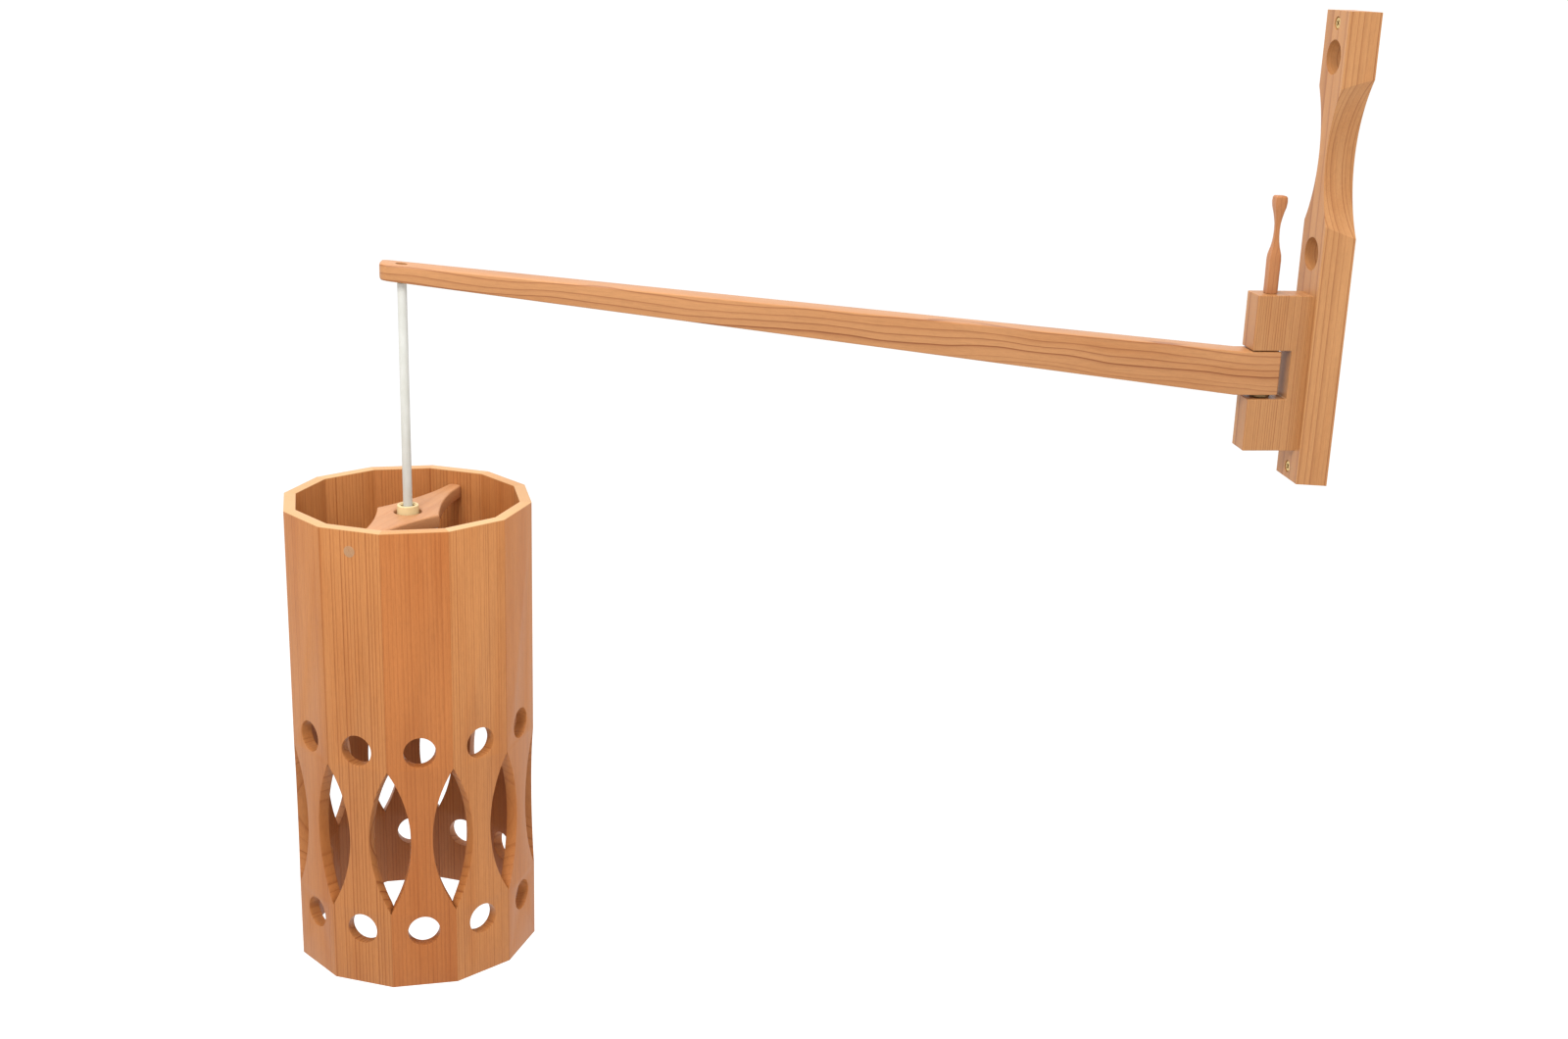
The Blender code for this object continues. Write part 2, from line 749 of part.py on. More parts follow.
def holder_body():
    high = CAP_BOTTOM - GAP
    low = high - BODY_HEIGHT
    profile = (
        (BODY_RADIUS - HOLDER_WALL, high),
        (BODY_RADIUS, high),
        (BODY_RADIUS, high - BODY_COLLAR_HEIGHT),
        (BODY_MOUTH_RADIUS, high - BODY_SHOULDER),
        (BODY_MOUTH_RADIUS, low),
        (BODY_MOUTH_RADIUS - HOLDER_WALL, low),
        (BODY_MOUTH_RADIUS - HOLDER_WALL, high - BODY_SHOULDER),
    )
    holder_part("holder_body", profile, "white_plastic")


def contact_insulator():
    high = CAP_BOTTOM - INSULATOR_DROP
    low = high - INSULATOR_THICKNESS
    radius = BODY_MOUTH_RADIUS - HOLDER_WALL - GAP
    profile = ((0, low), (radius, low), (radius, high), (0, high))
    holder_part("contact_insulator", profile, "ceramic")


def screw_shell():
    """The bulb's threaded socket, drawn as rings of the thread's depth."""
    high = CAP_BOTTOM - SOCKET_DROP
    outer = []
    for i in range(THREAD_TURNS):
        outer.append((THREAD_CREST_RADIUS, high - THREAD_PITCH * i))
        outer.append((THREAD_ROOT_RADIUS, high - THREAD_PITCH * (i + 0.5)))
    outer.append((THREAD_CREST_RADIUS, high - THREAD_PITCH * THREAD_TURNS))
    inner = [(radius - THREAD_WALL, height) for radius, height in reversed(outer)]
    holder_part("screw_shell", outer + inner, "brass", 24)


def centre_contact():
    high = CAP_BOTTOM - SOCKET_DROP
    profile = (
        (0, high - 0.0022),
        (0.0022, high - 0.0020),
        (CONTACT_RADIUS, high - 0.0008),
        (CONTACT_RADIUS, high),
        (0, high),
    )
    holder_part("centre_contact", profile, "brass", 24)


def pointing(start, way):
    """The matrix that takes +Z at the origin to the direction way at start."""
    turn = Vector((0, 0, 1)).rotation_difference(way).to_matrix().to_4x4()
    return Matrix.Translation(start) @ turn


def countersunk_screw(name, finish, start, end, head_radius, shank_radius, holders):
    """A slotted screw with its flat head at start, and its hole in each of the holders."""
    start, end = Vector(start), Vector(end)
    length = (end - start).length
    place = pointing(start, end - start)
    under_head = head_radius - shank_radius + SCREW_RIM
    profile = (
        (0, 0),
        (head_radius, 0),
        (head_radius, SCREW_RIM),
        (shank_radius, under_head),
        (shank_radius, length - SCREW_POINT),
        (0, length),
    )
    screw = turned(profile, (0, 0), 24)
    bmesh.ops.transform(screw, matrix=place, verts=screw.verts)
    made = node(name, screw, finish, smooth=True)
    slot = box((-head_radius, -SLOT_HALF_WIDTH, -OVERCUT), (head_radius, SLOT_HALF_WIDTH, SLOT_DEPTH))
    bmesh.ops.transform(slot, matrix=place, verts=slot.verts)
    cut(made, slot)
    hole_profile = (
        (0, -OVERCUT),
        (head_radius + GAP, -OVERCUT),
        (head_radius + GAP, SCREW_RIM + GAP),
        (shank_radius + GAP, under_head + GAP),
        (shank_radius + GAP, length + GAP),
        (0, length + GAP),
    )
    for holder in holders:
        hole = turned(hole_profile, (0, 0), 24)
        bmesh.ops.transform(hole, matrix=place, verts=hole.verts)
        cut(holder, hole)


def wall_screws(post_object):
    """The screws that hold the post to the wall, ending short of the post's back."""
    for name, height in WALL_SCREW_HEIGHTS:
        start = (0, POST_FRONT + WALL_SCREW_SINK, height)
        end = (0, -BACK_SINK, height)
        radii = (WALL_SCREW_HEAD_RADIUS, WALL_SCREW_RADIUS)
        countersunk_screw(name, "brass", start, end, *radii, [post_object])


def block_screws(post_object, block_object):
    """The screws from the post's back that hold the hinge block."""
    for name, height in BLOCK_SCREW_HEIGHTS:
        start = (0, -BACK_SINK, height)
        end = (0, BLOCK_FRONT + NOTCH_DEPTH - BLOCK_SCREW_STOP, height)
        radii = (BLOCK_SCREW_HEAD_RADIUS, BLOCK_SCREW_RADIUS)
        countersunk_screw(name, "steel", start, end, *radii, [post_object, block_object])


def main():
    clear_scene()
    post_object = post()
    block_object = hinge_block()
    wall_screws(post_object)
    block_screws(post_object, block_object)
    hinge_pin()
    hinge_washer()
    arm()
    arm_flex()
    pendant_flex()
    staves = [stave(index) for index in range(STAVES)]
    crossbar()
    facing = (BAR_STAVE + STAVES // 2) % STAVES
    for number, side, index in ((1, 1, BAR_STAVE), (2, -1, facing)):
        bar_screw_holes(staves[index], side)
        bar_screw(number, side)
        bar_plug(number, side)
    cord_grip()
    holder_cap()
    holder_body()
    contact_insulator()
    screw_shell()
    centre_contact()


main()
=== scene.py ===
"""Looks of the swing-arm wall lamp: pine post, hinge block, arm and stave shade, with a
white flex, a cream cord grip and brass screws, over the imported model's bodies.

The wall is the plane Y = 0, the lamp stands out along -Y, and +Z is up. Metres.
"""

import json
import math

import bmesh
import bpy
from mathutils import Matrix, Quaternion, Vector


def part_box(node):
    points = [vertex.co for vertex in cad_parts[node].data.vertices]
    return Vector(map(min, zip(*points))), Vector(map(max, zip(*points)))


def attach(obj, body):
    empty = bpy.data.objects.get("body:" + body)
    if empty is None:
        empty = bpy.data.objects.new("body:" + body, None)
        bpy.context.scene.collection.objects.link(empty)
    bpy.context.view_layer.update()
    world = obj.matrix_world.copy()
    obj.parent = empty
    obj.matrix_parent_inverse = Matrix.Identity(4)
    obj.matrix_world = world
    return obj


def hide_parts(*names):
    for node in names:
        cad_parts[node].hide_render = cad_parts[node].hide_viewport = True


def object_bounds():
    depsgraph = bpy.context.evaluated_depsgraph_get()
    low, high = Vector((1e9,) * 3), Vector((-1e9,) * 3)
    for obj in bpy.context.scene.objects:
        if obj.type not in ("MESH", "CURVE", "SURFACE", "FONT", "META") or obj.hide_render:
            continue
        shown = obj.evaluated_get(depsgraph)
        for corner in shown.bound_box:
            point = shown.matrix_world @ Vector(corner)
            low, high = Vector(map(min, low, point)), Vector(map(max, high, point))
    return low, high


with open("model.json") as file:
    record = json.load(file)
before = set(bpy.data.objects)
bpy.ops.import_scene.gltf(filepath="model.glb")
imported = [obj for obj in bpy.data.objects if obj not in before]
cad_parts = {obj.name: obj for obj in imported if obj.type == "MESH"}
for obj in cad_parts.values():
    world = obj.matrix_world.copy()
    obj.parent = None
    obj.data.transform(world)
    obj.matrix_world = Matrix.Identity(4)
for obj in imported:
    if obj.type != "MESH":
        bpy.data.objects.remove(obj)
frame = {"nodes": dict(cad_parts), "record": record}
CAD_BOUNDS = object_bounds()

MM = 0.001
FULL_TURN = 2 * math.pi
HALF_TURN = math.pi
QUARTER_TURN = math.pi / 2
# How far a cutter runs past the piece that it cuts.
OVERCUT = 0.01
# Nearer than this, two points are one.
WELD = 0.002 * MM

# Camera: its place, the azimuth and pitch that it looks from, its roll and its lens.
CAMERA_PLACE = (1.1230, -0.4991, 0.2461)
CAMERA_AZIMUTH = 82.21
CAMERA_PITCH = 16.82
CAMERA_ROLL = 1.92
LENS = 43.23
SENSOR = 36.0

# Lights, each with its size and its power, and the floor far below the lamp.
SKY_STRENGTH = 1.08
KEY_PLACE, KEY_SIZE, KEY_POWER = (0.95, -0.90, 0.80), 0.5, 11
TOP_PLACE, TOP_SIZE, TOP_POWER = (0.1, -0.5, 2.0), 1.2, 32
FLOOR_HEIGHT = -1.3
FLOOR_REACH = 30
FLOOR_THICKNESS = 0.02

# Shade.
STAVES = 12
SHADE_RADIUS = 75.9 * MM
STAVE_THICKNESS = 7.0 * MM
JOINT_GAP = 0.3 * MM
GLUE_LINE = 0.03 * MM
STAVE_ARRIS = 0.16 * MM
STAVE_HOLE_RADIUS = 9.65 * MM
STAVE_HOLE_DROPS = (137.5 * MM, 256.0 * MM)
LENS_DROP = 196.0 * MM
LENS_HALF_HEIGHT = 47.0 * MM
STAVE_WAIST = 12.9 * MM
SHADE_TURN = math.radians(6.4)
BAR_STAVE = 2
BAR_MID_HALF = 21.0 * MM
BAR_END_HALF = 4.2 * MM
BAR_HOLE_RADIUS = 8.3 * MM
BAR_ARRIS = 1.2 * MM
BAR_END_CORNER = 3.0 * MM
PLUG_SINK = 0.5 * MM
PLUG_EDGE = (0.02 * MM, 0.08 * MM, 0.12 * MM)
PLUG_PROUD = 0.10 * MM
PLUG_CENTRE_RADIUS = 0.3 * MM

# Post, block, arm and pin.
POST_FRONT_HALF = 16.5 * MM
POST_FRONT_SPARE = 0.3 * MM
POST_HOLE_RADIUS = 10.4 * MM
POST_HOLE_HEIGHTS = (75.0 * MM, 194.5 * MM)
WAIST_HEIGHT = 135.2 * MM
WAIST_HALF = 5.5 * MM
WAIST_CUT_RADIUS = 80.6 * MM
POST_ARRIS = 0.5 * MM
BLOCK_ARRIS = 0.9 * MM
NOTCH_DEPTH = 25.6 * MM
NOTCH_TOP = 15.0 * MM
NOTCH_BOTTOM = -16.2 * MM
NOTCH_HALF_WIDTH = 0.03
PIN_RADIUS = 3.5 * MM
PIN_HOLE_RADIUS = 3.6 * MM
PIN_END_TAPER = 0.8 * MM
PIN_NECK = 0.1 * MM
PIN_CORNER = 0.16
PIN_TOP_TAPERS = (0.86, 0.70)
PIN_TOP_EDGE = 0.2 * MM
WASHER_BORE_GAP = 0.3 * MM
WASHER_EDGE = 0.35 * MM
ARM_ARRIS = 1.0 * MM
ARM_KINK_TOP = 17.0 * MM
ARM_KINK_BOTTOM = 20.0 * MM
ARM_ROOT_TOP = 14.3 * MM
ARM_TIP_BOTTOM = 53.8 * MM
ARM_END_RADIUS = 5.5 * MM
GROOVE_HALF_WIDTH = 3.1 * MM
GROOVE_DEPTH = 6.2 * MM
GROOVE_START = 24.0 * MM
GROOVE_OVERCUT = 0.02
ARM_TIP_TUCK = 0.8 * MM
TIP_HOLE_RADIUS = 3.5 * MM
TIP_HOLE_HEIGHTS = (0.03, 0.09)
PIN_HOLE_REACH = 0.05
FLEX_BEND_RADIUS = 3.13 * MM
FLEX_RADIUS = 2.8 * MM
FLEX_LIFT = 0.05 * MM

# Screws: a raised head with a cross recess, a shank and a point.
WALL_SINK_DEPTH = 2.4 * MM
BLOCK_SINK_DEPTH = 0.4 * MM
HEAD_RISE = 0.35 * MM
HEAD_CROWN_INSET = 0.5 * MM
HEAD_RIM_INSET, HEAD_RIM_DROP = 0.1 * MM, 0.15 * MM
HEAD_EDGE = 0.4 * MM
HEAD_TAPER = 1.5 * MM
SHANK_RADIUS = 1.9 * MM
POINT_LENGTH = 2.5 * MM
POINT_RADIUS = 0.3 * MM
RECESS_HALF_LENGTH = 2.0 * MM
RECESS_HALF_WIDTH = 0.45 * MM
RECESS_DEPTH = 1.3 * MM
RECESS_OVERCUT = 2.0 * MM
RECESS_TURN = 0.6

# Lampholder.
HOLDER_WALL = 2.2 * MM
HOLDER_EDGE = 0.4 * MM
GRIP_BORE_RADIUS = 4.4 * MM
GRIP_STEM_RADIUS = 5.0 * MM
GRIP_CENTRE_RADIUS = 0.5 * MM
GRIP_SEAT_GAP = 0.3 * MM
GRIP_FLOOR_DROP = 0.6 * MM
GRIP_LIP = 0.8 * MM
GRIP_LIP_INSET = 0.5 * MM
GRIP_LIP_FOOT = 1.0 * MM
CAP_BORE_RADIUS = 5.3 * MM
CAP_FLAT_RADIUS = 12.0 * MM
CAP_DOME_DROP = 11.0 * MM
CAP_INSIDE_DROP = 12.0 * MM
# Radii and drops of the cap's inside, up to its bore.
CAP_INSIDE = ((16.0 * MM, 6.5 * MM), (13.0 * MM, 3.5 * MM), (CAP_BORE_RADIUS, 3.0 * MM))
COLLAR_RIBS = 36
COLLAR_HEIGHT = 8.0 * MM
COLLAR_EDGE = 0.8 * MM
COLLAR_FOOT = 10.0 * MM
RIB_DEPTH = 0.5 * MM
RIB_FOOT = 7.2 * MM
MOUTH_STEP = 1.8 * MM
MOUTH_EDGE = 0.5 * MM
SHELL_WALL = 0.5 * MM
THREAD_PITCH = 3.6 * MM
THREAD_DEPTH = 0.7 * MM
THREAD_FADE = 6

# Half widths of the whittled pin at heights above the block's top.
PIN_SHAPE = (
    (0.3, 3.5),
    (10.0, 3.5),
    (21.0, 3.6),
    (24.0, 3.4),
    (26.5, 2.9),
    (29.0, 2.3),
    (32.5, 1.75),
    (36.0, 1.5),
    (39.7, 1.4),
    (43.5, 1.55),
    (47.5, 2.1),
    (51.0, 2.8),
    (54.0, 3.5),
    (57.2, 3.8),
    (59.8, 3.6),
)


def joint(name):
    for entry in frame["record"]["behaviour"]["joints"]:
        if entry["name"] == name:
            return Vector(entry["pos_m"])
    raise ValueError(name)


POST_LOW, POST_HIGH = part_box("post")
BLOCK_LOW, BLOCK_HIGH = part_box("hinge_block")
ARM_LOW, ARM_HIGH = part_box("arm")
FLEX_LOW, FLEX_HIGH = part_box("pendant_flex")
PIN_LOW, PIN_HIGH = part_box("hinge_pin")
STAVE_LOW, STAVE_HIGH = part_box("stave_01")
BAR_LOW, BAR_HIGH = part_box("crossbar")
PIN_AXIS = joint("arm_swing")
HANG = joint("flex_swing")
RIM = STAVE_HIGH.z
SHADE_HEIGHT = STAVE_HIGH.z - STAVE_LOW.z
SHADE_AXIS = Vector((0, HANG.y, RIM))
APOTHEM = SHADE_RADIUS * math.cos(HALF_TURN / STAVES)
INNER_APOTHEM = APOTHEM - STAVE_THICKNESS
ARM_LENGTH = PIN_AXIS.y - ARM_LOW.y
ARM_BACK = PIN_AXIS.y - ARM_HIGH.y
FLEX_REACH = PIN_AXIS.y - HANG.y


# ---------------------------------------------------------------- materials


class Graph:
    """A node tree with short calls for adding and joining nodes."""

    def __init__(self, name):
        self.material = bpy.data.materials.new(name)
        self.material.use_nodes = True
        self.tree = self.material.node_tree
        self.shader = self.tree.nodes["Principled BSDF"]

    def add(self, kind, settings=None, **inputs):
        made = self.tree.nodes.new("ShaderNode" + kind)
        for key, value in (settings or {}).items():
            setattr(made, key, value)
        for key, value in inputs.items():
            name = key.replace("_", " ").strip()
            self.put(made.inputs[int(name) if name.isdigit() else name], value)
        return made

    def put(self, socket, value):
        if isinstance(value, bpy.types.NodeSocket):
            self.tree.links.new(value, socket)
        else:
            socket.default_value = value

    def math(self, operation, a, b=0.0, c=0.0):
        made = self.add("Math", {"operation": operation}, _0=a, _1=b, _2=c)
        return made.outputs[0]

    def vector(self, operation, a, b=(0, 0, 0)):
        made = self.add("VectorMath", {"operation": operation}, _0=a, _1=b)
        return made.outputs["Value" if operation == "LENGTH" else "Vector"]

    def noise(self, where, scale, detail=3.0, roughness=0.5):
        inputs = {"Vector": where, "Scale": scale, "Detail": detail, "Roughness": roughness}
        return self.add("TexNoise", None, **inputs).outputs["Fac"]

    def linear(self, value, gain, base):
        """base plus gain times value."""
        return self.math("ADD", base, self.math("MULTIPLY", value, gain))

    def along_z(self, where, factor):
        """where with its Z times factor, so that under 1 a mark is longer along Z."""
        return self.add("Mapping", None, Vector=where, Scale=(1.0, 1.0, factor)).outputs[0]

    def line(self, value):
        """A place on a line, for a noise that changes with value alone."""
        return self.add("CombineXYZ", None, X=value).outputs[0]

    def ramp(self, fac, stops):
        made = self.add("ValToRGB", None, Fac=fac)
        points = made.color_ramp.elements
        while len(points) < len(stops):
            points.new(1.0)
        for point, (place, colour) in zip(points, stops):
            point.position = place
            point.color = (*colour, 1.0)
        return made.outputs["Color"]

    def mix(self, fac, a, b, blend="MIX"):
        made = self.add("Mix", {"data_type": "RGBA", "blend_type": blend})
        self.put(made.inputs["Factor"], fac)
        for socket, value in ((made.inputs[6], a), (made.inputs[7], b)):
            is_socket = isinstance(value, bpy.types.NodeSocket)
            self.put(socket, value if is_socket else (*value, 1.0))
        return made.outputs[2]

    def clouded(self, cloud, colour, stain, low=0.3, high=0.7):
        """colour where cloud is under low, stain where it is over high, and a mix between."""
        return self.mix(self.ramp(cloud, ((low, grey(0.0)), (high, grey(1.0)))), colour, stain)

    def bump(self, height, strength, distance):
        made = self.add("Bump", None, Height=height, Strength=strength, Distance=distance)
        self.put(self.shader.inputs["Normal"], made.outputs["Normal"])

    def finish(self, **inputs):
        for key, value in inputs.items():
            self.put(self.shader.inputs[key.replace("_", " ")], value)
        return self.material


def grey(value):
    return (value, value, value)


# Turns that take an object's axes to its grain's.
ALONG_Z = (0, 0, 0)
ALONG_X = (0, math.radians(90), 0)
ALONG_ARM = (math.radians(95.3), 0, 0)
# How dark a growth ring is from its inner side, 0, to its outer side, 1.
LATEWOOD = (
    (0.00, grey(0.0)),
    (0.55, grey(0.05)),
    (0.79, grey(0.26)),
    (0.91, grey(1.0)),
    (0.95, grey(0.9)),
    (1.00, grey(0.0)),
)
# What the noises multiply the wood's colour by: narrow streaks, wide flames, and fleck.
STREAK_TONES = ((0.30, grey(0.86)), (0.52, grey(1.0)), (0.75, grey(1.05)))
FLAME_TONES = ((0.30, (0.93, 0.86, 0.78)), (0.50, grey(1.0)), (0.72, (1.05, 1.07, 1.09)))
FLECK_TONES = ((0.34, grey(0.95)), (0.50, grey(1.0)), (0.68, grey(1.03)))
# The noises' scales, per millimetre, and their factors along the grain.
DRIFT_SCALE = 0.03
UNEVEN_SCALE = 0.8
YEAR_SCALE = 3.7
STREAK_SCALE, STREAK_FACTOR = 3.2, 0.015
FLAME_SCALE, FLAME_FACTOR = 0.07, 0.12
FLECK_SCALE, FLECK_FACTOR = 0.95, 0.22
# The rings: how far a unit of wave moves them, how unevenly they are spaced, in rings, and how
# dark the lines are, from noise, with the least that they can be.
WAVE_REACH = 4
UNEVEN_RINGS = 1.6
YEAR_GAIN, YEAR_BASE, YEAR_LEAST = 2.4, 0.35, 0.12
# Sawn ends, paler as end grain and with painted light from above: how much of the paler
# colour they take, its level and warmth against the light colour, and the last millimetre's
# stops, where it sets in.
SAWN_LIT_PART = 0.75
SAWN_LIT_LEVEL, SAWN_LIT_WARMTH = 1.30, 1.55
SAWN_LIT_STOPS = ((0.35, grey(0.0)), (0.85, grey(1.0)))
# Painted shade on the shade's staves, darker towards the bottom: its tint inside, its part of
# that outside, and the height where it starts and over which it deepens, in millimetres.
LOW_SHADE_TINT = (0.70, 0.60, 0.56)
LOW_SHADE_OUTSIDE = 0.32
LOW_SHADE_TOP = -105.0
LOW_SHADE_FADE = 80.0
# The wood's roughness and its gain with the streaks, and the bump's strength and distance.
POLISH, POLISH_GAIN = 0.34, 0.16
BUMP, BUMP_DISTANCE, BUMP_STREAKS = 0.22, 0.1 * MM, 0.6
SHADE_LIGHT = (0.455, 0.182, 0.057)
SHADE_DARK = (0.25, 0.072, 0.017)
POST_LIGHT = (0.430, 0.200, 0.073)
POST_DARK = (0.24, 0.080, 0.022)
ARM_LIGHT = (0.430, 0.196, 0.074)
ARM_DARK = (0.210, 0.062, 0.017)
PIN_LIGHT = (0.40, 0.160, 0.056)
PIN_DARK = (0.22, 0.062, 0.018)
BAR_LIGHT = (0.47, 0.220, 0.095)
BAR_DARK = (0.33, 0.120, 0.044)
PLUG_LIGHT = (0.36, 0.195, 0.095)
PLUG_DARK = (0.25, 0.115, 0.050)
# For plastic and metal: the colour, the colour of its clouds or stains, and the roughness.
SHEATH_LOOK = (0.56, 0.56, 0.52), (0.50, 0.50, 0.45), 0.42
CREAM_LOOK = (0.66, 0.51, 0.27), (0.58, 0.43, 0.21), 0.34
WHITE_LOOK = (0.80, 0.78, 0.70), (0.74, 0.71, 0.62), 0.30
GLAZE_LOOK = (0.84, 0.83, 0.79), (0.76, 0.75, 0.70), 0.18
# The washer's brass is darkened as painted shade for the gap under the arm.
WASHER_SHADED_LOOK = (0.30, 0.20, 0.10), (0.18, 0.12, 0.06), 0.42
SCREW_LOOK = (0.78, 0.56, 0.22), (0.50, 0.33, 0.12), 0.22
SOCKET_LOOK = (0.78, 0.58, 0.26), (0.56, 0.38, 0.15), 0.20
ZINC_LOOK = (0.60, 0.60, 0.61), (0.42, 0.42, 0.43), 0.30


def tinted(colour, level, warmth=1.0):
    """colour at another level. A warmth under 1 takes out green, and more blue."""
    return (colour[0] * level, colour[1] * level * warmth, colour[2] * level * warmth * warmth)


def wood(
    name,
    light,
    dark,
    ring,
    pith,
    turn=ALONG_Z,
    contrast=0.5,
    wave=1.6,
    shift=0.0,
    ripple=0.28,
    sawn_lit_top=None,
    low_shade=None,
    gloss=0.32,
):
    """Pine with growth rings about a pith line that runs along the grain.

    turn takes the object's axes to the grain's own, whose Z runs along the fibres. ring is the
    rings' spacing and pith the pith's place in X and Y, in millimetres. wave is how far the
    rings wander, and ripple how quickly they do so along the grain. shift picks another part
    of the noises. sawn_lit_top is the height, in millimetres, of a sawn end that is paler than
    the rest, both as pale end grain and as painted light from above. low_shade is a place in X
    and a height, in millimetres: below that height the wood gets a painted shade, darker towards
    the bottom, and most where X is less, inside. gloss is the specular level.
    """
    graph = Graph(name)
    place = graph.add("TexCoord").outputs["Object"]
    grain = graph.add("Mapping", None, Vector=place, Rotation=turn, Scale=grey(1 / MM)).outputs[0]
    moved = (shift, shift * 0.7, shift * 3.1)
    fibres = graph.add("Mapping", None, Vector=grain, Location=moved).outputs[0]

    slow = graph.along_z(fibres, ripple)
    drift = graph.add("TexNoise", None, Vector=slow, Scale=DRIFT_SCALE, Detail=1.5, Roughness=0.4)
    wander = graph.vector("SUBTRACT", drift.outputs["Color"], grey(0.5))
    wander = graph.vector("MULTIPLY", wander, grey(wave * WAVE_REACH))
    across = graph.vector("MULTIPLY", graph.vector("ADD", grain, wander), (1, 1, 0))
    radius = graph.vector("LENGTH", graph.vector("SUBTRACT", across, (pith[0], pith[1], 0)))
    count = graph.math("DIVIDE", radius, ring)
    uneven = graph.noise(graph.line(count), UNEVEN_SCALE, 1.0)
    count = graph.linear(uneven, UNEVEN_RINGS, count)
    latewood = graph.ramp(graph.math("FRACT", count), LATEWOOD)
    year = graph.noise(graph.line(graph.math("FLOOR", count)), YEAR_SCALE, 0.0)
    depth = graph.math("SUBTRACT", graph.math("MULTIPLY", year, YEAR_GAIN), YEAR_BASE)
    line = graph.math("MULTIPLY", latewood, graph.math("MAXIMUM", YEAR_LEAST, depth))

    streaks = graph.noise(graph.along_z(fibres, STREAK_FACTOR), STREAK_SCALE, 3.0, 0.6)
    flames = graph.noise(graph.along_z(fibres, FLAME_FACTOR), FLAME_SCALE, 2.5)
    fleck = graph.noise(graph.along_z(fibres, FLECK_FACTOR), FLECK_SCALE, 2.0, 0.7)

    base = graph.mix(graph.math("MULTIPLY", line, contrast), light, dark)
    for marks, tones in ((streaks, STREAK_TONES), (flames, FLAME_TONES), (fleck, FLECK_TONES)):
        base = graph.mix(1.0, base, graph.ramp(marks, tones), "MULTIPLY")
    # Paler top: pale sawn end grain and painted light from above, on the top face and its last
    # millimetre.
    if sawn_lit_top is not None:
        height = graph.add("SeparateXYZ", None, Vector=grain).outputs["Z"]
        end = graph.ramp(graph.math("SUBTRACT", height, sawn_lit_top - 1.0), SAWN_LIT_STOPS)
        pale = tinted(light, SAWN_LIT_LEVEL, SAWN_LIT_WARMTH)
        base = graph.mix(graph.math("MULTIPLY", end, SAWN_LIT_PART), base, pale)
    # Painted shade: the wood darkens towards the bottom, most on the inside faces.
    if low_shade is not None:
        spot = graph.add("SeparateXYZ", None, Vector=grain)
        inside = graph.math("LESS_THAN", spot.outputs["X"], low_shade[0])
        inside = graph.linear(inside, 1 - LOW_SHADE_OUTSIDE, LOW_SHADE_OUTSIDE)
        fall = graph.math("SUBTRACT", low_shade[1], spot.outputs["Z"])
        fall = graph.math("DIVIDE", fall, LOW_SHADE_FADE)
        lower = graph.ramp(fall, ((0.0, grey(0.0)), (1.0, grey(1.0))))
        base = graph.mix(graph.math("MULTIPLY", lower, inside), base, LOW_SHADE_TINT, "MULTIPLY")
    graph.bump(graph.linear(streaks, BUMP_STREAKS, line), BUMP, BUMP_DISTANCE)
    polish = graph.linear(streaks, POLISH_GAIN, POLISH)
    return graph.finish(Base_Color=base, Roughness=polish, Specular_IOR_Level=gloss)


def plastic(name, colour, stain, roughness, grain=900.0):
    """Faintly clouded plastic or glaze, whose fine pebble has grain as its noise's scale."""
    graph = Graph(name)
    place = graph.add("TexCoord").outputs["Object"]
    cloud = graph.noise(place, scale=90.0)
    pebble = graph.noise(place, grain, detail=2.0)
    graph.bump(pebble, strength=0.12, distance=0.08 * MM)
    base = graph.clouded(cloud, colour, stain)
    polish = graph.linear(cloud, gain=0.12, base=roughness)
    return graph.finish(Base_Color=base, Roughness=polish)


def metal(name, colour, stain, roughness):
    """Metal with darker stains and fine scratches round it."""
    graph = Graph(name)
    place = graph.add("TexCoord").outputs["Object"]
    cloud = graph.noise(place, scale=380.0, detail=4.0)
    base = graph.clouded(cloud, colour, stain, low=0.35, high=0.75)
    scratch = graph.noise(graph.along_z(place, factor=9.0), scale=900.0, detail=2.0)
    graph.bump(scratch, strength=0.08, distance=0.04 * MM)
    polish = graph.linear(scratch, gain=0.20, base=roughness)
    return graph.finish(Base_Color=base, Roughness=polish, Metallic=1.0)


def sheath(name):
    """The flex's off-white sheath, with the faint lay of the cores inside it."""
    graph = Graph(name)
    place = graph.add("TexCoord").outputs["Object"]
    lay = graph.noise(graph.along_z(place, factor=0.35), scale=260.0)
    graph.bump(lay, strength=0.15, distance=0.2 * MM)
    colour, stain, roughness = SHEATH_LOOK
    base = graph.clouded(lay, colour, stain)
    polish = graph.linear(lay, gain=0.15, base=roughness)
    return graph.finish(Base_Color=base, Roughness=polish)


# ---------------------------------------------------------------- meshes


def linked(obj):
    bpy.context.scene.collection.objects.link(obj)
    return obj


def mesh_object(name, shape):
    bmesh.ops.recalc_face_normals(shape, faces=shape.faces)
    mesh = bpy.data.meshes.new(name)
    shape.to_mesh(mesh)
    shape.free()
    return linked(bpy.data.objects.new(name, mesh))


def applied(obj):
    """Applies obj's modifiers, or turns a curve into a mesh, and returns the object."""
    graph = bpy.context.evaluated_depsgraph_get()
    mesh = bpy.data.meshes.new_from_object(obj.evaluated_get(graph))
    if obj.type == "MESH":
        obj.modifiers.clear()
        obj.data = mesh
        return obj
    made = linked(bpy.data.objects.new(obj.name, mesh))
    name = obj.name
    bpy.data.objects.remove(obj, do_unlink=True)
    made.name = name
    return made


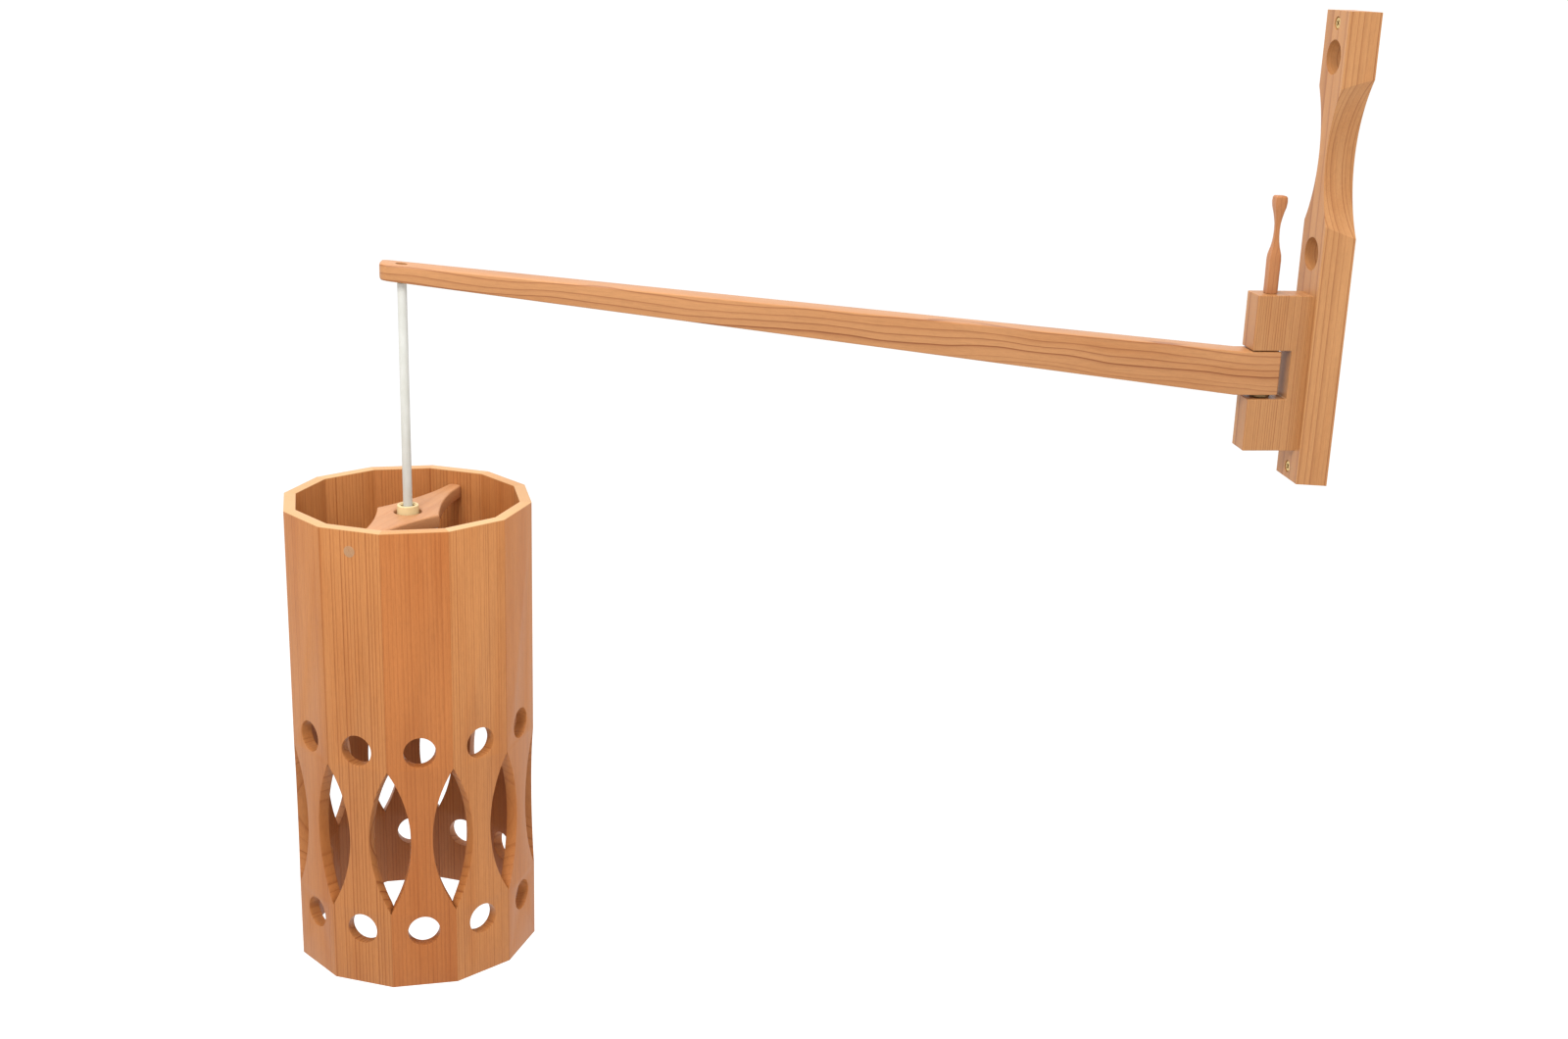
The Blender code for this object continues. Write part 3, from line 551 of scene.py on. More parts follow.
def cut(obj, *cutters):
    """Cuts the cutters out of obj, and removes them."""
    for cutter in cutters:
        step = obj.modifiers.new("cut", "BOOLEAN")
        step.operation = "DIFFERENCE"
        step.solver = "EXACT"
        step.object = cutter
    applied(obj)
    for cutter in cutters:
        bpy.data.objects.remove(cutter, do_unlink=True)


def soften(obj, width, segments=3, angle=25):
    """Rounds the arrises sharper than angle, and keeps the flat faces flat in the shading."""
    obj.data.shade_smooth()
    step = obj.modifiers.new("arris", "BEVEL")
    step.width = width
    step.segments = segments
    step.limit_method = "ANGLE"
    step.angle_limit = math.radians(angle)
    step.miter_outer = "MITER_ARC"
    step.harden_normals = True
    return applied(obj)


def smooth(obj, angle=35):
    obj.data.shade_smooth()
    obj.data.set_sharp_from_angle(angle=math.radians(angle))
    return obj


def loft(rings, capped=True):
    shape = bmesh.new()
    loops = [[shape.verts.new(point) for point in ring] for ring in rings]
    count = len(loops[0])
    for low, high in zip(loops, loops[1:]):
        for i in range(count):
            j = (i + 1) % count
            shape.faces.new((low[i], low[j], high[j], high[i]))
    if capped:
        shape.faces.new(loops[0][::-1])
        shape.faces.new(loops[-1])
    return shape


def box_shape(low, high):
    corners = ((0, 0), (1, 0), (1, 1), (0, 1))
    sides = ((low[0], high[0]), (low[1], high[1]))
    rings = [[(sides[0][i], sides[1][j], z) for i, j in corners] for z in (low[2], high[2])]
    return loft(rings)


def circle(radius, height=0, centre=(0, 0), segments=48):
    ring = []
    for i in range(segments):
        turn = FULL_TURN * i / segments
        x = centre[0] + radius * math.cos(turn)
        ring.append((x, centre[1] + radius * math.sin(turn), height))
    return ring


def lathe(name, profile, centre, segments=64, closed=False):
    """Turns (radius, height) points about the vertical through centre.

    closed joins the last point to the first, for a ring. Otherwise both ends are capped.
    """
    rings = [circle(radius, height, centre, segments) for radius, height in profile]
    shape = loft(rings, not closed)
    if closed:
        shape.verts.ensure_lookup_table()
        last = (len(profile) - 1) * segments
        for i in range(segments):
            j = (i + 1) % segments
            ends = (last + i, last + j, j, i)
            shape.faces.new([shape.verts[k] for k in ends])
    return mesh_object(name, shape)


def rod(name, start, end, radius, segments=48):
    start, end = Vector(start), Vector(end)
    length = (end - start).length
    shape = loft([circle(radius, height, segments=segments) for height in (0, length)])
    turn = Vector((0, 0, 1)).rotation_difference(end - start).to_matrix().to_4x4()
    bmesh.ops.transform(shape, matrix=Matrix.Translation(start) @ turn, verts=shape.verts)
    return mesh_object(name, shape)


def add_line(curve, points):
    line = curve.splines.new("POLY")
    line.points.add(len(points) - 1)
    for place, point in zip(line.points, points):
        place.co = (*point, 1)
    return line


def outline_solid(name, outlines, thickness, arris):
    """A flat solid from an outer outline and the outlines of its holes, with round arrises."""
    curve = bpy.data.curves.new(name, "CURVE")
    curve.dimensions = "2D"
    curve.fill_mode = "BOTH"
    curve.extrude = thickness / 2 - arris
    curve.bevel_depth = arris
    curve.bevel_resolution = 2
    curve.offset = -arris
    for outline in outlines:
        add_line(curve, [(x, y, 0) for x, y in outline]).use_cyclic_u = True
    made = applied(linked(bpy.data.objects.new(name, curve)))
    shape = bmesh.new()
    shape.from_mesh(made.data)
    bmesh.ops.remove_doubles(shape, verts=shape.verts, dist=WELD)
    bmesh.ops.recalc_face_normals(shape, faces=shape.faces)
    shape.to_mesh(made.data)
    shape.free()
    return made


def dress(obj, body, material, slot, *nodes):
    """Gives a finished piece its material, body and the CAD nodes that it stands for."""
    obj.data.materials.clear()
    obj.data.materials.append(material)
    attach(obj, body)
    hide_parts(*nodes)
    return obj


def tube(name, points, radius):
    """A round tube with closed ends, as a curve."""
    curve = bpy.data.curves.new(name, "CURVE")
    curve.dimensions = "3D"
    curve.bevel_depth = radius
    curve.bevel_resolution = 8
    curve.use_fill_caps = True
    add_line(curve, points).use_smooth = True
    return linked(bpy.data.objects.new(name, curve))


# ---------------------------------------------------------------- camera, floor and light


def camera():
    data = bpy.data.cameras.new("camera")
    data.lens = LENS
    data.sensor_width = SENSOR
    data.clip_start = 0.01
    data.clip_end = 100
    obj = linked(bpy.data.objects.new("camera", data))
    azimuth, pitch = math.radians(CAMERA_AZIMUTH), math.radians(CAMERA_PITCH)
    level = math.cos(pitch)
    back = Vector((math.sin(azimuth) * level, -math.cos(azimuth) * level, math.sin(pitch)))
    obj.location = CAMERA_PLACE
    obj.rotation_mode = "QUATERNION"
    roll = Quaternion((0, 0, 1), math.radians(CAMERA_ROLL))
    obj.rotation_quaternion = (-back).to_track_quat("-Z", "Y") @ roll
    bpy.context.scene.camera = obj


def area_light(name, place, target, size, power):
    data = bpy.data.lights.new(name, "AREA")
    data.shape = "DISK"
    data.size = size
    data.energy = power
    obj = linked(bpy.data.objects.new(name, data))
    obj.location = place
    obj.rotation_euler = (target - Vector(place)).to_track_quat("-Z", "Y").to_euler()


def studio():
    world = bpy.data.worlds.new("studio")
    world.use_nodes = True
    background = world.node_tree.nodes["Background"]
    background.inputs["Color"].default_value = (1.0, 1.0, 1.0, 1.0)
    background.inputs["Strength"].default_value = SKY_STRENGTH
    bpy.context.scene.world = world
    middle = (CAD_BOUNDS[0] + CAD_BOUNDS[1]) / 2
    area_light("key", KEY_PLACE, SHADE_AXIS, KEY_SIZE, KEY_POWER)
    area_light("top", TOP_PLACE, middle, TOP_SIZE, TOP_POWER)
    low = (-FLOOR_REACH, -FLOOR_REACH, FLOOR_HEIGHT - FLOOR_THICKNESS)
    high = (FLOOR_REACH, FLOOR_REACH, FLOOR_HEIGHT)
    floor = mesh_object("floor", box_shape(low, high))
    graph = Graph("floor_paint")
    place = graph.add("TexCoord").outputs["Object"]
    cloud = graph.noise(place, scale=1.5, detail=2.0)
    tone = graph.mix(cloud, grey(0.93), grey(0.96))
    floor.data.materials.append(graph.finish(Base_Color=tone, Roughness=0.9))
    bpy.context.scene.view_settings.view_transform = "Standard"


# ---------------------------------------------------------------- the flex


def pendant_flex():
    steps = 24
    top = Vector((0, HANG.y, FLEX_HIGH.z))
    bottom = Vector((0, HANG.y, FLEX_LOW.z))
    points = [top.lerp(bottom, i / steps) for i in range(steps + 1)]
    made = tube("pendant_flex_sheath", points, FLEX_RADIUS)
    made = dress(made, "flex", sheath("sheath"), "flex_sheath", "pendant_flex")


def rounded_path(corners, radius, count=14):
    """The line through corners, with each one between the ends rounded to radius."""
    points = [Vector(corners[0])]
    for before, corner, after in zip(corners, corners[1:], corners[2:]):
        before, corner, after = Vector(before), Vector(corner), Vector(after)
        into = (corner - before).normalized()
        out = (after - corner).normalized()
        turn = into.angle(out)
        start = corner - into * radius * math.tan(turn / 2)
        centre = corner + (out - into).normalized() * (radius / math.cos(turn / 2))
        axis = into.cross(out).normalized()
        for i in range(count + 1):
            spun = Matrix.Rotation(turn * i / count, 3, axis)
            points.append(centre + spun @ (start - centre))
    points.append(Vector(corners[-1]))
    return points


def arm_bottom(reach):
    """The height of the arm's underside at a reach from the pin's axis."""
    root = ARM_LOW.z
    if reach <= ARM_KINK_BOTTOM:
        return root
    part = (reach - ARM_KINK_BOTTOM) / (ARM_LENGTH - ARM_KINK_BOTTOM)
    return root + part * (ARM_TIP_BOTTOM - root)


def arm_top(reach):
    if reach <= ARM_KINK_TOP:
        return ARM_ROOT_TOP
    part = (reach - ARM_KINK_TOP) / (ARM_LENGTH - ARM_KINK_TOP)
    return ARM_ROOT_TOP + part * (ARM_HIGH.z - ARM_ROOT_TOP)


def arm_flex():
    """The flex in the arm's groove, which leaves it by the hinge."""
    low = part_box("arm_flex")[0]
    near = GROOVE_START + GROOVE_HALF_WIDTH
    lift = GROOVE_HALF_WIDTH + FLEX_LIFT
    corners = (
        (0, HANG.y, FLEX_HIGH.z + JOINT_GAP),
        (0, HANG.y, arm_bottom(FLEX_REACH) + lift),
        (0, PIN_AXIS.y - near, arm_bottom(near) + lift),
        (0, PIN_AXIS.y - near, low.z),
    )
    made = tube("arm_flex_sheath", rounded_path(corners, FLEX_BEND_RADIUS), FLEX_RADIUS)
    dress(made, "swing_arm", sheath("sheath_in_arm"), "flex_sheath", "arm_flex")


# ---------------------------------------------------------------- bracket


def screw_sink(low, high, outside, seat):
    """A cutter from outside to seat in Y, for the head of the screw in the box low to high."""
    z = (low.z + high.z) / 2
    radius = (high.x - low.x) / 2 + JOINT_GAP
    return rod("sink", (0, outside, z), (0, seat, z), radius, 40)


def post():
    """The post, whose front is drawn a little wide because its arrises are rounded after."""
    front = POST_LOW.y
    front_half = POST_FRONT_HALF + POST_FRONT_SPARE
    back_half = POST_HIGH.x
    plan = ((-back_half, 0), (back_half, 0), (front_half, front), (-front_half, front))
    rings = [[(x, y, z) for x, y in plan] for z in (POST_LOW.z, POST_HIGH.z)]
    made = mesh_object("post_pine", loft(rings))
    through = (OVERCUT, front - OVERCUT)
    cutters = []
    for side in (-1, 1):
        x = side * (WAIST_HALF + WAIST_CUT_RADIUS)
        start, end = [(x, y, WAIST_HEIGHT) for y in through]
        cutters.append(rod("scoop", start, end, WAIST_CUT_RADIUS, 256))
    for height in POST_HOLE_HEIGHTS:
        start, end = [(0, y, height) for y in through]
        cutters.append(rod("hole", start, end, POST_HOLE_RADIUS, 64))
    for node in ("wall_screw_upper", "wall_screw_lower"):
        low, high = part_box(node)
        cutters.append(screw_sink(low, high, front - OVERCUT, low.y + WALL_SINK_DEPTH))
    for node in ("block_screw_upper", "block_screw_lower"):
        low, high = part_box(node)
        cutters.append(screw_sink(low, high, OVERCUT, high.y - BLOCK_SINK_DEPTH))
    cut(made, *cutters)
    made = soften(made, POST_ARRIS)
    pine = wood(
        "pine_post",
        POST_LIGHT,
        POST_DARK,
        ring=3.1,
        pith=(-22, 74),
        contrast=0.78,
        wave=0.7,
        shift=11,
        ripple=0.06,
    )
    dress(made, "bracket", pine, "post_wood", "post")


def pin_bore(low, high):
    """A cutter for the pin's hole, between two heights."""
    return rod("bore", (0, PIN_AXIS.y, low), (0, PIN_AXIS.y, high), PIN_HOLE_RADIUS)


def hinge_block():
    """The notched block, drawn back far enough for its rear arrises to be inside the post."""
    glued = Vector((BLOCK_HIGH.x, BLOCK_HIGH.y + JOINT_GAP + BLOCK_ARRIS, BLOCK_HIGH.z))
    made = mesh_object("hinge_block_pine", box_shape(BLOCK_LOW, glued))
    front = BLOCK_LOW.y
    notch_low = (-NOTCH_HALF_WIDTH, front - OVERCUT, NOTCH_BOTTOM)
    notch_high = (NOTCH_HALF_WIDTH, front + NOTCH_DEPTH, NOTCH_TOP)
    notch = mesh_object("notch", box_shape(notch_low, notch_high))
    cut(made, notch, pin_bore(BLOCK_LOW.z - OVERCUT, BLOCK_HIGH.z + OVERCUT))
    made = soften(made, BLOCK_ARRIS)
    pine = wood(
        "pine_block",
        tinted(POST_LIGHT, 0.97),
        POST_DARK,
        ring=1.5,
        pith=(4, -130),
        contrast=0.95,
        wave=0.4,
        shift=37,
        ripple=0.06,
    )
    dress(made, "bracket", pine, "post_wood", "hinge_block")


def square_ring(half, height, corner, segments=8):
    """Points round a square about the pin's axis, with its corners rounded to corner."""
    ring = []
    for quarter in range(4):
        turn = Matrix.Rotation(QUARTER_TURN * quarter, 3, "Z")
        for i in range(segments):
            angle = QUARTER_TURN * i / (segments - 1)
            x = half - corner + corner * math.cos(angle)
            y = half - corner + corner * math.sin(angle)
            ring.append(turn @ Vector((x, y, 0)) + Vector((0, PIN_AXIS.y, height)))
    return ring


def round_ring(radius, height):
    """A circle with as many points as a square_ring, in the same directions."""
    centre = Vector((0, PIN_AXIS.y, height))
    ring = []
    for point in square_ring(radius, height, radius * 0.9):
        ring.append(centre + (point - centre).normalized() * radius)
    return ring


def hinge_pin():
    base = BLOCK_HIGH.z
    rings = [
        round_ring(PIN_RADIUS - PIN_END_TAPER, PIN_LOW.z),
        round_ring(PIN_RADIUS, PIN_LOW.z + PIN_END_TAPER),
        round_ring(PIN_RADIUS, base + PIN_NECK),
    ]
    for height, half in PIN_SHAPE:
        rings.append(square_ring(half * MM, base + height * MM, half * MM * PIN_CORNER))
    last = PIN_SHAPE[-1][1] * MM
    for taper, drop in zip(PIN_TOP_TAPERS, (PIN_TOP_EDGE, 0)):
        rings.append(square_ring(last * taper, PIN_HIGH.z - drop, last * PIN_CORNER))
    made = smooth(mesh_object("hinge_pin_pine", loft(rings)), 24)
    pine = wood(
        "pine_pin",
        PIN_LIGHT,
        PIN_DARK,
        ring=1.6,
        pith=(18, -30),
        contrast=0.55,
        wave=0.4,
        shift=71,
    )
    dress(made, "pin", pine, "pin_wood", "hinge_pin")


def hinge_washer():
    low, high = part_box("hinge_washer")
    outer = (high.x - low.x) / 2
    inner = PIN_RADIUS + WASHER_BORE_GAP
    profile = (
        (inner, low.z),
        (outer - WASHER_EDGE, low.z),
        (outer, low.z + WASHER_EDGE),
        (outer, high.z - WASHER_EDGE),
        (outer - WASHER_EDGE, high.z),
        (inner, high.z),
    )
    made = smooth(lathe("hinge_washer_brass", profile, (0, PIN_AXIS.y), closed=True))
    # Brass darkened as painted shade for the gap under the arm.
    brass = metal("brass_washer_shaded", *WASHER_SHADED_LOOK)
    dress(made, "bracket", brass, "brass", "hinge_washer")


def wall_screw(node):
    """A countersunk brass screw with a cross recess in its slightly raised head."""
    low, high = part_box(node)
    z = (low.z + high.z) / 2
    radius = (high.x - low.x) / 2
    length = high.y - low.y
    profile = (
        (radius - HEAD_CROWN_INSET, -HEAD_RISE),
        (radius - HEAD_RIM_INSET, 0.0),
        (radius, HEAD_RIM_DROP),
        (radius, HEAD_EDGE),
        (SHANK_RADIUS, radius - HEAD_TAPER),
        (SHANK_RADIUS, length - POINT_LENGTH),
        (POINT_RADIUS, length),
    )
    made = lathe(node + "_head", profile, (0, 0), 48)
    slots = []
    for turn in (RECESS_TURN, RECESS_TURN + QUARTER_TURN):
        slot_low = (-RECESS_HALF_LENGTH, -RECESS_HALF_WIDTH, -RECESS_OVERCUT)
        slot = box_shape(slot_low, (RECESS_HALF_LENGTH, RECESS_HALF_WIDTH, RECESS_DEPTH))
        spun = Matrix.Rotation(turn, 3, "Z")
        bmesh.ops.rotate(slot, verts=slot.verts, cent=(0, 0, 0), matrix=spun)
        slots.append(mesh_object("recess", slot))
    cut(made, *slots)
    smooth(made)
    made.location = (0, low.y + HEAD_RISE, z)
    made.rotation_euler.x = -QUARTER_TURN
    brass = metal(node + "_brass", *SCREW_LOOK)
    dress(made, "bracket", brass, "brass", node)


# ---------------------------------------------------------------- arm


def rounded_section(half, low, high, arris):
    """Points round an upright rectangle with quarter-round arrises, as (across, height)."""
    steps = 4
    corners = (
        (half - arris, low + arris, -QUARTER_TURN),
        (half - arris, high - arris, 0.0),
        (-half + arris, high - arris, QUARTER_TURN),
        (-half + arris, low + arris, HALF_TURN),
    )
    points = []
    for x, z, start in corners:
        for i in range(steps + 1):
            turn = start + QUARTER_TURN * i / steps
            points.append((x + arris * math.cos(turn), z + arris * math.sin(turn)))
    return points


def arm_stations():
    """(reach, half width, how far the top and bottom draw in) from the root to the tip."""
    half = (ARM_HIGH.x - ARM_LOW.x) / 2
    stations = []
    steps = 5
    for i in range(steps + 1):
        turn = QUARTER_TURN * i / steps
        inset = ARM_ARRIS * (1 - math.sin(turn))
        stations.append((ARM_BACK + ARM_ARRIS * (1 - math.cos(turn)), half - inset, inset))
    stations.append((ARM_KINK_TOP, half, 0))
    stations.append((ARM_KINK_BOTTOM, half, 0))
    runs = 20
    end = ARM_LENGTH - ARM_END_RADIUS
    for i in range(1, runs):
        stations.append((ARM_KINK_BOTTOM + (end - ARM_KINK_BOTTOM) * i / runs, half, 0))
    steps = 12
    tucked_from = 0.8
    for i in range(steps + 1):
        turn = QUARTER_TURN * i / steps
        out = math.sin(turn)
        tuck = ARM_TIP_TUCK * max(0.0, out - tucked_from) / (1 - tucked_from)
        width = half - ARM_END_RADIUS * (1 - math.cos(turn))
        stations.append((end + ARM_END_RADIUS * out, width, tuck))
    return stations


def groove_cutter():
    """A cutter for the round-ended groove under the arm, with its top along the arm's slope."""
    steps = 12
    plan = []
    for centre, start in ((FLEX_REACH, 0.0), (GROOVE_START + GROOVE_HALF_WIDTH, HALF_TURN)):
        for i in range(steps + 1):
            turn = start + HALF_TURN * i / steps
            x = GROOVE_HALF_WIDTH * math.cos(turn)
            plan.append((x, centre + GROOVE_HALF_WIDTH * math.sin(turn)))
    rings = []
    for lift in (-GROOVE_OVERCUT, GROOVE_DEPTH):
        rings.append([(x, PIN_AXIS.y - reach, arm_bottom(reach) + lift) for x, reach in plan])
    return mesh_object("groove", loft(rings))


def arm():
    rings = []
    for reach, half, tuck in arm_stations():
        low, high = arm_bottom(reach) + tuck, arm_top(reach) - tuck
        section = rounded_section(half, low, high, ARM_ARRIS)
        rings.append([(x, PIN_AXIS.y - reach, z) for x, z in section])
    made = mesh_object("arm_pine", loft(rings))
    start, end = [(0, HANG.y, height) for height in TIP_HOLE_HEIGHTS]
    tip_hole = rod("tip_hole", start, end, TIP_HOLE_RADIUS)
    cut(made, pin_bore(-PIN_HOLE_REACH, PIN_HOLE_REACH), groove_cutter(), tip_hole)
    smooth(made, 30)
    pine = wood(
        "pine_arm",
        ARM_LIGHT,
        ARM_DARK,
        ring=4.5,
        pith=(12, 74),
        turn=ALONG_ARM,
        contrast=0.72,
        wave=2.4,
        shift=53,
        ripple=0.5,
    )
    dress(made, "swing_arm", pine, "arm_wood", "arm")


# ---------------------------------------------------------------- shade


def stave_edge(drop):
    """Half the width of a stave's outer face, at a drop below the rim."""
    full = SHADE_RADIUS * math.sin(HALF_TURN / STAVES) - GLUE_LINE / 2
    sag = full - STAVE_WAIST / 2
    radius = (LENS_HALF_HEIGHT**2 + sag**2) / (2 * sag)
    off = drop - LENS_DROP
    if abs(off) >= LENS_HALF_HEIGHT:
        return full
    return STAVE_WAIST / 2 + radius - math.sqrt(radius**2 - off**2)


def stave_turn(index):
    """How far a stave is turned from the one that would face +X."""
    return SHADE_TURN - QUARTER_TURN + FULL_TURN * index / STAVES


def stave_outlines():
    """The stave's outline and its two holes', as (across, height), from the rim down."""
    steps = 40
    drops = [0.0]
    for i in range(steps + 1):
        drops.append(LENS_DROP - LENS_HALF_HEIGHT + 2 * LENS_HALF_HEIGHT * i / steps)
    drops.append(SHADE_HEIGHT)
    side = [(stave_edge(drop), -drop) for drop in drops]
    outlines = [side + [(-across, height) for across, height in reversed(side)]]
    for drop in STAVE_HOLE_DROPS:
        ring = circle(STAVE_HOLE_RADIUS, segments=56)
        outlines.append([(x, y - drop) for x, y, _ in ring])
    return outlines


def stave(index, tone):
    """One board of the shade, stood upright and mitred to meet the next."""
    node = f"stave_{index + 1:02d}"
    made = outline_solid(node + "_pine", stave_outlines(), STAVE_THICKNESS, STAVE_ARRIS)
    middle = APOTHEM - STAVE_THICKNESS / 2
    mitre = math.tan(HALF_TURN / STAVES)
    for vert in made.data.vertices:
        across, height, out = vert.co
        out += middle
        limit = out * mitre - GLUE_LINE / 2
        vert.co = (out, max(-limit, min(limit, across)), height)
    smooth(made, 30)
    made.location = SHADE_AXIS
    made.rotation_euler.z = stave_turn(index)
    level, warmth, ring, contrast, side, depth = tone
    pine = wood(
        "pine_" + node,
        tinted(SHADE_LIGHT, level, warmth),
        tinted(SHADE_DARK, level, warmth),
        ring=ring,
        pith=(APOTHEM / MM + depth, side),
        contrast=contrast,
        wave=0.6,
        shift=17.0 * index,
        ripple=0.07,
        # Paler rim top: pale end grain and painted light from above.
        sawn_lit_top=0.0,
        # Painted shade on the stave's lower part, darker towards the bottom and most inside.
        low_shade=(INNER_APOTHEM / MM + 0.3, LOW_SHADE_TOP),
        gloss=0.18,
    )
    dress(made, "shade", pine, "shade_wood", node)


# For each stave: level, warmth, ring spacing, contrast, and the pith's place across and
# outwards, in millimetres.
STAVE_TONES = (
    (0.92, 1.00, 2.1, 0.60, 90, 14),
    (0.93, 0.99, 2.0, 0.50, -150, -8),
    (0.94, 1.00, 2.2, 0.85, 134, 22),
    (0.88, 0.86, 2.3, 0.40, -120, 60),
    (1.01, 1.02, 1.9, 0.62, 140, -20),
    (1.00, 0.96, 2.0, 0.38, -122, 12),
    (0.94, 0.96, 2.2, 0.70, 118, 18),
    (0.90, 0.90, 1.9, 0.60, -124, -16),
    (0.97, 0.97, 2.3, 0.75, 134, 24),
    (0.92, 0.92, 2.0, 0.60, -114, 10),
    (0.99, 0.98, 2.4, 0.65, 128, -12),
    (0.93, 0.95, 2.1, 0.60, -138, 20),
)


def bar_half_width(along):
    part = 1 - abs(along) / INNER_APOTHEM
    return BAR_END_HALF + (BAR_MID_HALF - BAR_END_HALF) * max(0.0, part) ** 2


def crossbar():
    steps = 30
    length = INNER_APOTHEM - JOINT_GAP
    corner = BAR_END_CORNER
    reaches = [(length - corner) * i / steps for i in range(steps + 1)]
    quarter = [(reach, bar_half_width(reach)) for reach in reaches]
    turns = 6
    for i in range(1, turns + 1):
        turn = QUARTER_TURN * i / turns
        inset = corner * (1 - math.cos(turn))
        quarter.append((length - corner * (1 - math.sin(turn)), quarter[steps][1] - inset))
    outer = list(quarter)
    outer += [(reach, -half) for reach, half in reversed(quarter)]
    outer += [(-reach, -half) for reach, half in quarter[1:]]
    outer += [(-reach, half) for reach, half in reversed(quarter[1:])]
    hole = [(x, y) for x, y, _ in circle(BAR_HOLE_RADIUS, segments=56)]
    thickness = BAR_HIGH.z - BAR_LOW.z
    made = outline_solid("crossbar_pine", [outer, hole], thickness, BAR_ARRIS)
    smooth(made, 30)
    made.location = (0, HANG.y, (BAR_LOW.z + BAR_HIGH.z) / 2)
    made.rotation_euler.z = stave_turn(BAR_STAVE)
    pine = wood(
        "pine_crossbar",
        BAR_LIGHT,
        BAR_DARK,
        ring=1.3,
        pith=(50, 8),
        turn=ALONG_X,
        contrast=0.35,
        wave=0.5,
        shift=29,
    )
    dress(made, "shade", pine, "shade_wood", "crossbar")


def bar_plug(node):
    """The plug over a screw into the crossbar's end, a hair proud of its stave."""
    low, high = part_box(node)
    middle = (low + high) / 2
    outward = Vector((middle.x, middle.y - HANG.y, 0)).normalized()
    radius = (high.z - low.z) / 2
    edge_low, edge_high, edge_inset = PLUG_EDGE
    profile = (
        (radius, -PLUG_SINK),
        (radius, edge_low),
        (radius - edge_inset, edge_high),
        (PLUG_CENTRE_RADIUS, PLUG_PROUD),
    )
    made = smooth(lathe(node + "_end_grain", profile, (0, 0), 48), 40)
    made.location = SHADE_AXIS + outward * APOTHEM
    made.location.z = middle.z
    made.rotation_euler = outward.to_track_quat("Z", "Y").to_euler()
    grain = wood(
        node + "_wood",
        PLUG_LIGHT,
        PLUG_DARK,
        ring=0.9,
        pith=(9, 4),
        contrast=0.6,
        wave=0.3,
    )
    dress(made, "shade", grain, "plug_wood", node)


# ---------------------------------------------------------------- lampholder


def cord_grip(cream):
    """The collar that holds the flex, with a round lip, on a stem through the cap."""
    low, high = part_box("cord_grip")
    radius = (high.x - low.x) / 2
    bore = GRIP_BORE_RADIUS
    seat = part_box("holder_cap")[1].z + GRIP_SEAT_GAP
    floor = FLEX_LOW.z - GRIP_FLOOR_DROP
    profile = [(GRIP_CENTRE_RADIUS, floor), (bore, floor), (bore, high.z - GRIP_LIP_FOOT)]
    steps = 5
    mid = (bore + GRIP_LIP_INSET + radius) / 2
    half = (radius - bore - GRIP_LIP_INSET) / 2
    for i in range(steps + 1):
        turn = HALF_TURN * i / steps
        height = high.z - GRIP_LIP + GRIP_LIP * math.sin(turn)
        profile.append((mid - half * math.cos(turn), height))
    profile += [
        (radius, seat + HOLDER_EDGE),
        (radius - HOLDER_EDGE, seat),
        (GRIP_STEM_RADIUS, seat),
        (GRIP_STEM_RADIUS, low.z),
        (GRIP_CENTRE_RADIUS, low.z),
    ]
    made = smooth(lathe("cord_grip_cream", profile, (0, HANG.y), 72), 40)
    dress(made, "holder", cream, "cream_plastic", "cord_grip")


def holder_cap(white):
    """The domed upper half of the lampholder, a thin shell."""
    low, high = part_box("holder_cap")
    radius = (high.x - low.x) / 2
    flat = CAP_FLAT_RADIUS
    steps = 10
    profile = [(CAP_BORE_RADIUS, high.z), (flat, high.z)]
    for i in range(1, steps + 1):
        turn = QUARTER_TURN * i / steps
        drop = CAP_DOME_DROP * (1 - math.cos(turn))
        profile.append((flat + (radius - flat) * math.sin(turn), high.z - drop))
    profile += [
        (radius, low.z + HOLDER_EDGE),
        (radius - HOLDER_EDGE, low.z),
        (radius - HOLDER_WALL, low.z),
        (radius - HOLDER_WALL, high.z - CAP_INSIDE_DROP),
    ]
    profile += [(inner, high.z - drop) for inner, drop in CAP_INSIDE]
    made = smooth(lathe("holder_cap_white", profile, (0, HANG.y), 72, closed=True), 40)
    dress(made, "holder", white, "white_plastic", "holder_cap")


def holder_body(white):
    """The lower half of the lampholder, with a ribbed collar to turn it by."""
    low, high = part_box("holder_body")
    outer = (high.x - low.x) / 2
    mouth = outer - MOUTH_STEP
    wall = HOLDER_WALL
    segments = COLLAR_RIBS * 6
    # A radius, a height, and whether the ribs are there.
    profile = [
        (outer - wall, high.z, 0),
        (outer, high.z, 0),
        (outer, high.z - COLLAR_EDGE, 1),
        (outer, high.z - RIB_FOOT, 1),
        (outer, high.z - COLLAR_HEIGHT, 0),
        (mouth, high.z - COLLAR_FOOT, 0),
        (mouth, low.z + MOUTH_EDGE, 0),
        (mouth - MOUTH_EDGE, low.z, 0),
        (mouth - wall, low.z, 0),
        (mouth - wall, high.z - COLLAR_FOOT, 0),
    ]
    rings = []
    for radius, height, ribbed in profile:
        ring = []
        for i in range(segments):
            turn = FULL_TURN * i / segments
            dip = RIB_DEPTH * ribbed * (0.5 + 0.5 * math.cos(COLLAR_RIBS * turn))
            x = (radius - dip) * math.cos(turn)
            y = (radius - dip) * math.sin(turn)
            ring.append((x, HANG.y + y, height))
        rings.append(ring)
    rings.append(rings[0])
    shape = loft(rings, capped=False)
    bmesh.ops.remove_doubles(shape, verts=shape.verts, dist=WELD)
    made = smooth(mesh_object("holder_body_white", shape), 40)
    dress(made, "holder", white, "white_plastic", "holder_body")


